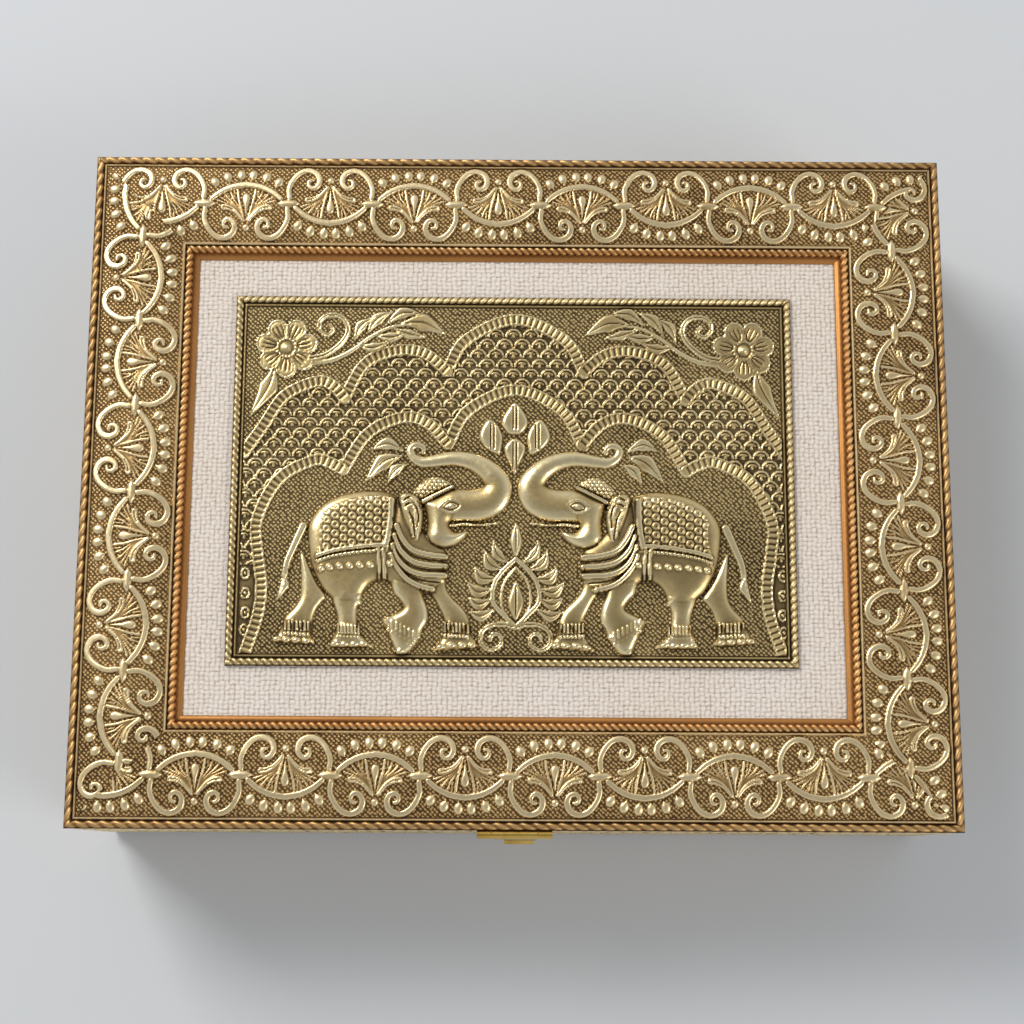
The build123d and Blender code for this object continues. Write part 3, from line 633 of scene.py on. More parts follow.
def cladding(name, side, z0, z1, body, rolls, draw, grid):
    """Embossed sheet on one side: rows from bottom to top, then the plain back."""
    length, face = side_sizes(side)
    z = np.arange(z0, z1 + 1e-6, grid)
    z[-1] = z1
    cols = int(length / grid) + 1
    t = np.linspace(-1, 1, cols)
    zz, tt = np.meshgrid(z, t, indexing="ij")
    u = tt * length / 2
    h, shine, ground = draw(side, u, zz)
    for at in rolls:
        h = np.maximum(h, rope(u, zz - at, 0.95, 0.85))
    inset = SHEET_FACE - h * 0.75
    width = length / 2 - inset
    rows = [np.stack([t * width[k], inset[k] - face, zz[k]], -1) for k in range(len(z))]
    for height in (z1, z0):
        plain = [np.full(cols, SHEET_BACK - face), np.full(cols, height)]
        rows.append(np.stack([t * (length / 2 - SHEET_BACK)] + plain, -1))
    tone = exposure(h, grid)

    def pad(values):
        return np.vstack([values, np.full((2, cols), 0.3)])

    points = turned(np.stack(rows), SIDE_TURNS[side])
    if side in ("left", "right"):
        points = clear_of_groove(points)
    tones = {"exposure": pad(tone), "shine": pad(shine), "warm": pad(shine * 0), "ground": pad(ground),
             "along": pad(u), "across": pad(zz)}
    obj = closed_strip(f"stamped_{name}_{side}", points, tones, FRAME_METAL)
    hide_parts(f"{name}_{side}")
    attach(obj, body)
    return obj


def draw_base_side(side, u, z):
    h, shine = scroll_band(u, z - 22.8, 25.4 if side in ("front", "back") else 25.0, 0.0, 1.12)
    field = (z > 6.6) & (z < 38.9)
    ground = field & (h < 0.08)
    h = np.where(field, np.maximum(h, 0), 0)
    h = h + ridge(z, 6.2, 0.5, 0.7) + ridge(z, 39.3, 0.5, 0.7)
    return h, np.where(ground, 0, shine * field), ground


def draw_lid_side(side, u, z):
    mid = 56.4
    pitch = 8.4667 if side in ("front", "back") else 8.3333
    h, shine = scroll_band(u, z - mid, pitch, 0.0, 0.36)
    field = (z > 52.2) & (z < 60.6)
    ground = field & (h < 0.05)
    h = np.where(field, np.maximum(h * 1.4, 0), 0)
    h = h + ridge(z, 61.1, 0.4, 0.6) + ridge(z, 47.6, 0.4, 0.5)
    return h, np.where(ground, 0, shine * field), ground


# Plaque: places in millimetres from its centre, read off the photograph

RIM_X, RIM_Y = PLAQUE_W / 2, PLAQUE_D / 2
OUTER_BAND = [
    [(-19.6, 32.3), (-14.0, 42.0), (0.7, 48.4), (15.2, 42.0), (21.0, 32.0)],
    [(-19.6, 32.3), (-26.1, 37.6), (-34.1, 38.7), (-43.8, 34.6), (-49.8, 23.9)],
    [(-49.8, 23.9), (-53.2, 27.6), (-58.0, 29.0), (-67.4, 24.6), (-73.4, 15.5), (-79.0, 7.2)],
]
INNER_BAND = [
    [(-19.1, 10.1), (-13.2, 20.4), (0.7, 26.7), (14.4, 20.4), (20.5, 9.7)],
    [(-19.1, 10.1), (-25.0, 16.4), (-32.5, 18.2), (-42.7, 13.2), (-49.7, 2.3)],
    [(-49.7, 2.3), (-53.8, 4.5), (-58.6, 5.0), (-68.4, -0.6), (-74.4, -12.5), (-74.0, -22.0),
     (-72.6, -32.0), (-73.4, -41.0), (-76.8, -51.7)],
]
FLOWER = (-67.2, 39.1)
VOLUTE = [(-60.0, 36.0), (-55.4, 37.2), (-50.8, 41.0), (-49.1, 45.0), (-50.8, 48.4), (-54.2, 49.4),
          (-57.3, 47.8), (-57.6, 44.9), (-55.6, 43.2), (-53.6, 44.4), (-54.5, 46.2)]
STEM = [(-61.0, 34.6), (-54.2, 35.4), (-48.0, 38.4), (-42.7, 42.5), (-36.9, 45.6), (-31.2, 46.6)]
STEM_LEAVES = [
    ([(-34.0, 46.6), (-27.0, 47.2), (-20.0, 43.4)], 2.4),
    ([(-38.0, 46.6), (-33.0, 50.2), (-27.4, 49.8)], 1.5),
    ([(-43.5, 43.6), (-40.5, 48.2), (-35.8, 50.6)], 1.5),
    ([(-47.2, 41.5), (-45.4, 46.0), (-41.6, 48.6)], 1.3),
    ([(-41.2, 43.2), (-36.5, 42.6), (-31.0, 44.0)], 1.3),
    ([(-46.4, 40.0), (-41.5, 39.4), (-36.6, 41.2)], 1.3),
    ([(-36.0, 45.4), (-31.0, 43.6), (-25.8, 42.6)], 1.2),
]
CORNER_LEAF = [(-70.6, 33.6), (-72.4, 27.0), (-77.6, 18.0)]
LOTUS = [
    ([(0.5, 23.0), (3.4, 19.8), (4.5, 16.5), (2.8, 13.5), (0.5, 13.0), (-1.8, 13.5), (-3.5, 16.5),
      (-2.4, 19.8)], 1.0),
    ([(0.5, 12.2), (3.0, 10.6), (3.8, 8.3), (2.2, 4.4), (0.5, 1.0), (-1.2, 4.4), (-2.8, 8.3),
      (-2.0, 10.6)], 0.9),
    ([(8.2, 17.9), (10.5, 14.8), (10.9, 11.7), (8.6, 8.6), (5.0, 7.0), (4.1, 10.0), (4.0, 13.0),
      (5.6, 16.2)], 0.9),
    ([(-7.2, 17.9), (-9.5, 14.8), (-9.9, 11.7), (-7.6, 8.6), (-4.0, 7.0), (-3.1, 10.0), (-3.0, 13.0),
      (-4.6, 16.2)], 0.9),
]

# The left elephant, which faces right; the right one is its mirror image
MIRROR_X = 0.55
TORSO = [(-59.6, -16.9), (-59.2, -13.8), (-57.7, -10.9), (-55.0, -7.9), (-50.8, -5.6), (-45.7, -4.3),
         (-40.6, -3.9), (-36.0, -4.6), (-33.4, -6.3), (-33.3, -13.2), (-33.4, -19.0), (-31.6, -25.9),
         (-29.2, -31.0), (-31.4, -33.3), (-34.8, -31.6), (-37.1, -30.2), (-39.4, -30.5), (-41.8, -32.2),
         (-43.4, -35.1), (-43.9, -37.9), (-51.0, -38.0), (-52.1, -35.7), (-54.8, -32.9), (-57.1, -28.9),
         (-58.7, -23.8)]
NEAR_HIND = [(-51.7, -34.0), (-43.6, -34.0), (-44.6, -39.0), (-44.4, -43.0), (-43.1, -46.4), (-40.5, -49.1),
             (-41.1, -49.8), (-52.0, -49.9), (-51.8, -47.6), (-50.7, -44.2), (-50.6, -40.8)]
FAR_HIND = [(-61.6, -23.3), (-60.7, -22.7), (-58.9, -26.1), (-56.2, -31.2), (-53.8, -35.2), (-54.9, -36.9),
            (-56.5, -39.2), (-57.4, -42.6), (-57.6, -46.5), (-57.6, -49.0), (-68.8, -48.4), (-68.0, -46.9),
            (-66.5, -44.3), (-65.5, -41.2), (-62.8, -38.1), (-61.4, -35.2), (-61.2, -30.7)]
BENT_FORE = [(-35.2, -29.3), (-31.4, -29.6), (-26.9, -31.2), (-25.6, -34.9), (-24.3, -38.8), (-24.2, -42.2),
             (-25.6, -44.8), (-26.3, -47.3), (-28.8, -50.7), (-31.5, -52.3), (-33.2, -51.3), (-35.6, -46.3),
             (-37.4, -42.4), (-36.6, -41.2), (-34.3, -40.2), (-31.6, -38.4), (-32.7, -36.1), (-34.5, -33.9)]
FAR_FORE = [(-26.4, -31.0), (-23.0, -30.0), (-19.7, -28.2), (-19.0, -32.6), (-17.2, -35.4), (-13.9, -38.7),
            (-12.2, -42.1), (-11.6, -46.0), (-10.2, -48.3), (-10.4, -49.9), (-22.1, -50.9), (-21.0, -48.4),
            (-19.7, -45.0), (-19.7, -41.6), (-21.2, -38.3), (-22.9, -35.4)]
NECK = [(-35.3, -12.1), (-33.4, -6.3), (-29.6, -11.0), (-25.0, -17.0), (-19.2, -22.0), (-18.9, -28.6),
        (-19.6, -31.4), (-23.5, -34.3), (-26.9, -33.8), (-31.5, -29.3), (-34.4, -24.7), (-36.0, -19.0)]
HEAD = [(-26.0, -7.3), (-22.4, -5.5), (-17.9, -3.4), (-13.3, -4.3), (-10.4, -7.9), (-12.6, -12.0),
        (-17.0, -12.6), (-18.2, -14.0), (-16.8, -16.0), (-13.1, -15.8), (-14.2, -18.3), (-17.0, -20.3),
        (-20.4, -21.2), (-23.8, -20.1), (-25.3, -17.8), (-24.9, -13.8), (-25.4, -10.3)]
TRUNK = [(-16.1, -8.2), (-11.0, -8.1), (-6.2, -6.4), (-4.3, -2.6), (-6.6, 1.5), (-11.2, 4.6), (-16.9, 5.8),
         (-22.6, 5.1), (-26.6, 4.7), (-29.4, 6.3), (-30.1, 8.6), (-28.4, 9.9), (-26.4, 9.1), (-26.2, 7.6)]
TRUNK_R = [4.8, 4.8, 4.8, 4.2, 3.4, 2.75, 2.25, 1.9, 1.65, 1.3, 1.15, 1.0, 0.85, 0.7]
CAP = [(-29.8, -4.8), (-26.4, -1.0), (-23.1, 0.5), (-19.6, -0.4), (-17.9, -2.9), (-26.0, -6.9),
       (-28.9, -5.8)]
EAR = [(-33.4, -6.3), (-32.1, -4.6), (-29.2, -4.8), (-27.2, -6.3), (-26.3, -8.6), (-25.9, -12.0),
       (-26.4, -16.1), (-27.3, -19.5), (-28.9, -19.0), (-31.0, -15.0), (-32.5, -10.9), (-33.2, -8.3)]
EAR_RIBS = [
    [(-32.3, -6.3), (-30.6, -5.4), (-28.6, -6.6), (-27.4, -8.9)],
    [(-32.0, -8.0), (-30.3, -7.2), (-28.8, -8.6), (-28.2, -10.9), (-28.4, -14.4)],
    [(-30.9, -9.8), (-29.8, -12.1), (-29.3, -14.9), (-28.9, -17.8)],
]
EYE = [(-21.5, -9.2), (-19.5, -7.4), (-17.5, -6.8), (-14.8, -8.2), (-16.1, -9.8), (-18.3, -10.5),
       (-20.3, -10.1)]
BROW = [(-26.2, -7.3), (-22.4, -5.3), (-17.6, -2.9)]
CLOTH_PATCH = [(-55.4, -11.8), (-52.4, -9.1), (-46.8, -6.7), (-41.1, -5.8), (-35.8, -6.2), (-35.6, -12.1),
               (-36.6, -20.4), (-40.7, -20.5), (-46.4, -21.1), (-52.0, -22.2), (-57.0, -24.1),
               (-55.7, -20.3), (-55.6, -15.7)]
CLOTH_HEM = [(-56.4, -23.4), (-52.0, -22.0), (-46.4, -21.0), (-40.7, -20.4), (-36.7, -20.2)]
CLOTH_EDGE = [(-35.4, -6.8), (-35.5, -12.1), (-36.0, -16.7), (-36.7, -20.5)]
FRINGE = [(-55.3, -27.3), (-52.7, -26.9), (-49.9, -26.6), (-46.9, -26.5), (-44.0, -26.3), (-41.0, -26.2),
          (-35.4, -25.8)]
STRAP = [(-38.2, -21.3), (-37.8, -25.9), (-37.7, -30.0)]
COLLARS = [
    [(-33.8, -14.4), (-32.3, -17.8), (-29.4, -21.3), (-24.9, -22.9), (-19.2, -23.6)],
    [(-34.3, -17.3), (-32.8, -21.3), (-29.3, -24.7), (-24.8, -26.0), (-19.2, -26.4)],
    [(-34.8, -20.2), (-33.3, -24.2), (-30.1, -27.4), (-25.9, -28.8), (-19.4, -29.1)],
    [(-35.0, -23.0), (-33.5, -26.4), (-30.6, -30.0), (-26.9, -32.1), (-23.0, -33.1)],
]
TAIL = [(-60.9, -14.6), (-63.1, -19.8), (-65.2, -25.0), (-65.9, -29.0)]
TUFT = [(-66.2, -28.4), (-64.4, -31.9), (-65.5, -33.9), (-68.0, -36.4), (-67.3, -32.5)]
TRUNK_LEAVES = [
    ([(-32.0, 7.8), (-36.9, 10.2), (-41.4, 8.2)], 1.7),
    ([(-32.4, 6.6), (-38.0, 4.6), (-43.2, -1.4)], 2.3),
    ([(-31.0, 4.0), (-34.4, 2.2), (-36.6, -1.6)], 1.5),
]
MOUTH = [(-17.9, -13.4), (-14.0, -13.0), (-9.6, -13.2), (-4.4, -12.6)]
JAW = [(-24.4, -17.8), (-23.2, -19.8), (-20.4, -20.9), (-17.3, -20.3)]
THIGH = [(-58.4, -27.5), (-56.4, -31.5), (-53.6, -34.9), (-51.4, -38.0)]
TOES = [
    [(-67.6, -47.7), (-64.8, -47.9), (-62.0, -48.0), (-59.0, -48.2)],
    [(-51.0, -49.0), (-48.2, -49.1), (-45.4, -49.1), (-42.6, -49.0)],
    [(-20.6, -49.8), (-17.4, -49.3), (-14.2, -49.3), (-11.4, -49.3)],
    [(-32.2, -51.0), (-29.7, -49.2), (-27.4, -46.9)],
]
ANKLETS = [((-65.9, -43.4), (-58.0, -43.8)), ((-50.6, -44.4), (-43.6, -44.6)),
           ((-19.9, -43.8), (-12.3, -44.2)), ((-36.4, -42.0), (-27.6, -46.6))]
PALMETTE_X = 1.0
PALMETTE_EDGE = [(0.0, -23.9), (-3.6, -27.2), (-6.2, -31.2), (-6.7, -36.3), (-3.5, -40.3), (0.0, -43.7)]
PALMETTE_HEART = [(0.0, -30.4), (1.6, -33.4), (2.4, -36.6), (1.5, -39.8), (0.0, -42.0), (-1.5, -39.8),
                  (-2.4, -36.6), (-1.6, -33.4)]
PALMETTE_LEAVES = [
    ([(-1.9, -25.2), (-5.4, -22.6), (-6.7, -18.4)], 1.2),
    ([(-3.4, -27.2), (-7.6, -25.4), (-9.2, -21.2)], 1.4),
    ([(-5.2, -29.6), (-9.8, -29.6), (-12.1, -26.0)], 1.5),
    ([(-6.4, -32.6), (-11.0, -33.6), (-14.2, -30.6)], 1.5),
    ([(-6.8, -35.6), (-10.6, -37.2), (-13.8, -35.2)], 1.4),
    ([(-5.8, -38.4), (-10.0, -40.6), (-13.6, -39.2)], 1.3),
]
PALMETTE_TOP = [(0.0, -13.1), (1.2, -15.6), (1.8, -18.6), (1.1, -21.6), (0.0, -23.4), (-1.1, -21.6),
                (-1.8, -18.6), (-1.2, -15.6)]
PALMETTE_SCROLL = [(-0.3, -43.9), (-3.6, -43.0), (-7.6, -43.6), (-10.1, -46.2), (-9.4, -49.4),
                   (-6.6, -50.4), (-4.1, -48.6), (-4.6, -46.2), (-6.8, -45.9), (-7.2, -47.6)]


def mirrored(points, centre=0.0):
    return [(2 * centre - x, y) for x, y in points]


def elephant(r, flip):
    """Draws the elephant, leg by leg and then trappings, on the left or mirrored on the right."""
    def at(points):
        return mirrored(points, MIRROR_X) if flip else points

    for leg, high in ((FAR_HIND, 1.25), (FAR_FORE, 1.25)):
        r.dome(at(leg), high, 2.2)
    r.dome(at(NEAR_HIND), 1.7, 2.2)
    r.dome(at(BENT_FORE), 1.8, 2.2)
    r.dome(at(TORSO), 2.1, 4.5)
    r.stroke(at(THIGH), 0.2, 0.2, 0.5, dig=True)
    r.dome(at(NECK), 1.9, 4.0)
    for collar in COLLARS:
        r.stroke(at(collar), 0.75, 0.75, 0.65, 1.75, shine=0.8)
    for a, b in zip(COLLARS[:-1], COLLARS[1:]):
        gap = [((p[0] + q[0]) / 2, (p[1] + q[1]) / 2) for p, q in zip(a, b)]
        r.stroke(at(gap), 0.35, 0.35, 0.5, dig=True)
    r.dome(at(HEAD), 2.5, 4.2)
    trunk = smooth(at(TRUNK))
    spots = np.interp(np.linspace(0, 1, len(trunk)), np.linspace(0, 1, len(TRUNK_R)), TRUNK_R)
    m = r.window(trunk, 5.0)
    d, along, half = near(r.x[m], r.y[m], trunk, spots)
    top = np.where(d < 1, 0.35 + np.minimum(half * 0.62, 2.15) * np.sqrt(np.clip(1 - d * d, 0, 1)), -9)
    r.h[m] = np.maximum(r.h[m], top)
    r.shine[m] = np.where(d < 1, 1.0, r.shine[m])
    r.stroke(at(MOUTH), 0.55, 0.3, 1.6, dig=True)
    r.stroke(at([(p[0], p[1] - 0.9) for p in MOUTH]), 0.5, 0.4, 0.9, 0.6, beads=1.0, shine=0.8)
    r.stroke(at(JAW), 0.25, 0.2, 0.4, dig=True)
    r.dome(at(CAP), 1.5, 2.5, shine=0.5)
    cap = r.window(np.array(at(CAP)), 0) & (inside_distance(r.x, r.y, smooth(at(CAP), True)) > 0.2)
    r.h[cap] += granules(r.x[cap], r.y[cap], 1.3, 0.6, 0.45)
    r.stroke(at(BROW), 0.55, 0.55, 0.55, 1.9, shine=0.9)
    r.stroke(at([(x, y + 0.9) for x, y in BROW]), 0.25, 0.25, 0.6, dig=True)
    r.dome(at(EAR), 2.4, 1.4, shine=0.7)
    for rib in EAR_RIBS:
        r.stroke(at(rib), 0.42, 0.34, 0.45, 2.3, shine=0.8)
        r.stroke(at([(x + 0.75, y - 0.6) for x, y in rib]), 0.3, 0.25, 0.6, dig=True)
    ring = at(EYE)
    r.stroke(ring, 0.26, 0.26, 0.35, 2.25, closed=True, shine=0.9)
    inner = [((x - ring[2][0]) * 0.62 + ring[2][0], (y + 8.8) * 0.62 - 8.8) for x, y in ring]
    r.stroke(inner, 0.3, 0.3, 0.4, closed=True, dig=True)
    centre = at([(-17.8, -8.7)])[0]
    r.oval(centre[0], centre[1], 0.85, 0.85, 0.5, lift=2.2, shine=1.0)
    patch = smooth(at(CLOTH_PATCH), True)
    d = inside_distance(r.x, r.y, patch)
    on = d > 0
    px, py = r.x[on], r.y[on]
    wide, row = 2.45, 2.6
    kx = np.round(px / wide)
    offset = np.where(kx % 2 == 0, 0, row / 2)
    ky = np.round((py - offset) / row)
    ringlet = np.hypot(px - kx * wide, py - (ky * row + offset))
    ring = 0.42 * np.clip(1 - ((ringlet - 0.78) / 0.42) ** 2, 0, 1) ** 0.5
    fill = ring + 0.35 * np.clip(1 - (ringlet / 0.32) ** 2, 0, 1)
    r.h[on] = np.maximum(r.h[on], 1.9 * np.clip(d[on] / 1.2, 0.6, 1)) + fill
    r.shine[on] = 0.35
    r.stroke(at(CLOTH_EDGE), 0.85, 0.85, 0.6, 2.2, shine=0.9)
    r.stroke(at(CLOTH_HEM), 0.6, 0.6, 0.55, 2.2, shine=0.9)
    r.stroke(at([(x, y - 1.6) for x, y in CLOTH_HEM]), 0.55, 0.55, 0.5, 2.0, beads=1.2, shine=0.5)
    r.stroke(at([(x, y - 0.9) for x, y in CLOTH_HEM]), 0.3, 0.3, 0.5, dig=True)
    for x, y in at(FRINGE):
        r.oval(x, y, 0.95, 0.95, 0.7, lift=2.0, shine=0.9)
    for shift in (-0.75, 0.75):
        r.stroke(at([(x + shift, y) for x, y in STRAP]), 0.42, 0.42, 0.5, 2.0, shine=0.8)
    r.stroke(at(TAIL), 1.25, 0.95, 1.0, 0.3, shine=0.9)
    r.dome(at(TUFT), 0.9, 0.9, 0.2, shine=0.8)
    r.stroke(at([TUFT[0], (-66.6, -32.4), TUFT[3]]), 0.2, 0.2, 0.3, dig=True)
    for toes in TOES:
        for x, y in at(toes):
            r.oval(x, y, 1.25, 0.85, 0.75, lift=1.15, shine=0.9)
    for (x0, y0), (x1, y1) in ANKLETS:
        for k in range(7):
            t = (k + 0.5) / 7
            x, y = x0 + (x1 - x0) * t, y0 + (y1 - y0) * t
            r.stroke(at([(x, y + 0.9), (x + 0.1, y - 1.4)]), 0.34, 0.28, 0.5, 1.5, shine=0.8)
            r.oval(*at([(x, y - 2.6)])[0], 0.5, 0.6, 0.5, lift=1.4, shine=0.7)
    for blade, wide in TRUNK_LEAVES:
        r.leaf(at(blade), wide + 0.4, 0.95, 0.1, shine=0.8)


def flower(r, cx, cy):
    """Seven broad petals about a ringed boss, each with a rim and three grooves."""
    petals = 7
    shape = [(2.6, 0.0), (3.6, 1.5), (6.0, 2.75), (8.0, 2.2), (9.1, 0.0), (8.0, -2.2), (6.0, -2.75),
             (3.6, -1.5)]
    for k in range(petals):
        a = 2 * math.pi * (k + 0.25) / petals
        c, s = math.cos(a), math.sin(a)

        def at(points):
            return [(cx + c * px - s * py, cy + s * px + c * py) for px, py in points]

        r.dome(at(shape), 0.7, 0.9, 0.1, shine=0.55)
        r.stroke(at(shape), 0.32, 0.32, 0.3, 0.55, closed=True, shine=0.8)
        r.stroke(at([(3.2, 0.0), (7.0, 0.0)]), 0.34, 0.2, 0.45, dig=True)
        for way in (-1, 1):
            r.stroke(at([(3.4, 0.6 * way), (5.4, 1.3 * way), (6.9, 1.3 * way)]), 0.26, 0.18, 0.35, dig=True)
    r.oval(cx, cy, 3.2, 3.2, 0.45, lift=0.3, shine=0.5)
    for k in range(16):
        a = 2 * math.pi * k / 16
        r.oval(cx + 2.75 * math.cos(a), cy + 2.75 * math.sin(a), 0.46, 0.46, 0.4, lift=0.6, shine=0.7)
    r.oval(cx, cy, 1.7, 1.7, 0.6, lift=0.5, shine=0.8)
    r.oval(cx, cy, 0.8, 0.8, 0.4, lift=0.95, shine=0.8)


def ladder_band(r, arcs):
    """A flat ribbon between two fine ridges, crossed by close rungs."""
    for arc in arcs:
        path = smooth(arc)
        m = r.window(path, 2.2)
        d, along, half = near(r.x[m], r.y[m], path, np.full(len(path), 1.0))
        edge = 0.62 * np.clip(1 - ((d - 1.5) / 0.32) ** 2, 0, 1) ** 0.5
        rung = 0.45 * (0.5 + 0.5 * np.cos(along * 2 * math.pi / 1.75)) ** 0.7
        top = np.where(d < 1.25, 0.22 + rung, -9)
        top = np.maximum(top, np.where(d < 1.85, edge + 0.12, -9))
        r.h[m] = np.where(d < 1.85, np.maximum(top, 0.05), r.h[m])
        r.shine[m] = np.where(d < 1.85, 0.35, r.shine[m])


def fish_scales(r, region):
    """Overlapping round scales in offset rows, each with a small rim inside."""
    on = inside_distance(r.x, r.y, region) > 0
    x, y = r.x[on], r.y[on]
    wide, row = 5.2, 3.05
    best = np.full(x.shape, -9.0)
    k = np.floor(y / row)
    shift = np.where(k % 2 == 0, 0, wide / 2)
    dx = x - shift - np.round((x - shift) / wide) * wide
    dy = y - k * row
    d = np.hypot(dx / 2.6, dy / 2.85)
    arc = 0.62 * np.clip(1 - ((d - 0.88) / 0.13) ** 2, 0, 1) ** 0.5
    e = np.hypot(dx / 1.55, (dy - 0.1) / 1.7)
    inner = 0.42 * np.clip(1 - ((e - 0.85) / 0.2) ** 2, 0, 1) ** 0.5 * (dy > 0.9)
    stalk = 0.4 * np.clip(1 - (dx / 0.42) ** 2, 0, 1) ** 0.5 * (dy < 1.5)
    best = np.maximum(arc, np.maximum(inner, stalk))
    r.h[on] = best
    r.shine[on] = 0.3


def draw_plaque(x, y):
    r = Relief(x, y)
    outer = [smooth(a) for a in OUTER_BAND]
    inner = [smooth(a) for a in INNER_BAND]
    right_outer = [mirrored(a.tolist(), MIRROR_X) for a in outer[1:]]
    right_inner = [mirrored(a.tolist(), MIRROR_X) for a in inner[1:]]
    region = np.vstack([outer[0], right_outer[0], right_outer[1], [[80.2, -52.0]], right_inner[1][::-1],
                        right_inner[0][::-1], inner[0][::-1], inner[1], inner[2], [[-79.0, -52.0]],
                        outer[2][::-1], outer[1][::-1]])
    fish_scales(r, region)
    below = (np.abs(x) > 68) & (y < -26)
    r.h = np.where(below & (r.shine == 0.3), 0, r.h)
    for arcs in (OUTER_BAND, INNER_BAND):
        ladder_band(r, arcs)
        ladder_band(r, [mirrored(a, MIRROR_X) for a in arcs[1:]])
    for flip in (False, True):
        def at(points):
            return mirrored(points, MIRROR_X) if flip else points

        flower(r, *at([FLOWER])[0])
        r.stroke(at(VOLUTE), 1.0, 0.7, 0.85, shine=0.6)
        r.stroke(at(VOLUTE), 0.25, 0.2, 0.4, dig=True)
        r.stroke(at(STEM), 0.9, 0.45, 0.75, shine=0.6)
        for blade, wide in STEM_LEAVES:
            r.leaf(at(blade), wide + 0.55, 0.8)
        r.leaf(at(CORNER_LEAF), 3.0, 0.9)
        for cx, cy in at([(-77.4, -28.5), (-77.2, -34.3), (-77.0, -40.0), (-77.2, -45.0)]):
            turns = [k * 1.05 for k in range(6)]
            ring = [(cx + 1.1 * math.cos(a), cy + 1.5 * math.sin(a)) for a in turns]
            r.stroke(ring, 0.3, 0.3, 0.5, closed=True)
            r.oval(cx, cy, 0.5, 0.6, 0.45)
    for petal, high in LOTUS:
        r.dome(petal, high + 0.35, 1.2, shine=0.9)
        cx = sum(p[0] for p in petal) / len(petal)
        ys = [p[1] for p in petal]
        for off in (-0.45, 0.45):
            groove = [(cx + off, max(ys) - 1.6), (cx + off, min(ys) + 1.6)]
            r.stroke(groove, 0.24, 0.2, 0.5, curve=False, dig=True)
    for flip in (1, -1):
        def side(points):
            return [(PALMETTE_X + flip * px, py) for px, py in points]

        for blade, wide in PALMETTE_LEAVES:
            r.leaf(side(blade), wide + 0.6, 0.8, shine=0.6)
        r.stroke(side(PALMETTE_EDGE), 0.75, 0.75, 0.85, shine=0.7)
        r.stroke(side(PALMETTE_SCROLL), 0.85, 0.6, 0.85, shine=0.7)
        r.stroke(side(PALMETTE_SCROLL), 0.22, 0.16, 0.35, dig=True)
    r.dome([(PALMETTE_X + px, py) for px, py in PALMETTE_HEART], 0.8, 1.2, shine=0.7)
    r.stroke([(PALMETTE_X, -32.0), (PALMETTE_X, -40.6)], 0.3, 0.15, 0.4, dig=True)
    for flip in (1, -1):
        curl = [(0.0, -26.4), (3.0, -30.0), (4.2, -34.0), (4.0, -38.0), (2.4, -40.6)]
        r.stroke([(PALMETTE_X + flip * px, py) for px, py in curl], 0.42, 0.42, 0.6, shine=0.6)
    r.dome([(PALMETTE_X + px, py) for px, py in PALMETTE_TOP], 0.85, 1.0, shine=0.8)
    r.stroke([(PALMETTE_X, -15.0), (PALMETTE_X, -22.0)], 0.25, 0.2, 0.35, dig=True)
    for flip in (False, True):
        elephant(r, flip)
    return r


def plaque():
    x = np.linspace(-RIM_X, RIM_X, int(PLAQUE_W / PLAQUE_GRID) + 1)
    y = np.linspace(-RIM_Y, RIM_Y, int(PLAQUE_D / PLAQUE_GRID) + 1)
    xx, yy = np.meshgrid(x, y)
    r = draw_plaque(xx, yy)
    edge_x, edge_y = RIM_X - np.abs(xx), RIM_Y - np.abs(yy)
    inset = np.minimum(edge_x, edge_y)
    along = np.where(edge_x < edge_y, yy, xx)
    border = rope(along, inset - 1.1, 1.1, 0.9, 2.2) * (inset < 2.2)
    border = border + ridge(inset, 2.9, 0.35, 0.6) * (inset >= 2.2)
    margin = inset < 3.4
    ground = ~margin & (r.h < 0.05) & (r.shine < 0.2)
    h = np.where(margin, border, r.h)
    shine = np.where(margin, 0.25, r.shine)
    tone = exposure(h, PLAQUE_GRID) - 0.18 * margin
    base = FABRIC_TOP + 0.75
    z = base + np.clip(h, -0.35, 4)
    top = np.stack([xx + PLAQUE_AT[0], yy + PLAQUE_AT[1], z], -1)
    low = top[[-1, 0]].copy()
    low[..., 2] = FABRIC_TOP + 0.02
    points = np.concatenate([top, low])

    def pad(values):
        return np.vstack([values, np.full((2, len(x)), 0.3)])

    tones = {"exposure": pad(tone), "shine": pad(shine), "warm": pad(shine * 0), "ground": pad(ground),
             "along": pad(xx), "across": pad(yy)}
    obj = closed_strip("stamped_plaque", points, tones, PLAQUE_METAL)
    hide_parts("embossed_plaque")
    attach(obj, "lid")
    return obj


# Cloth panel

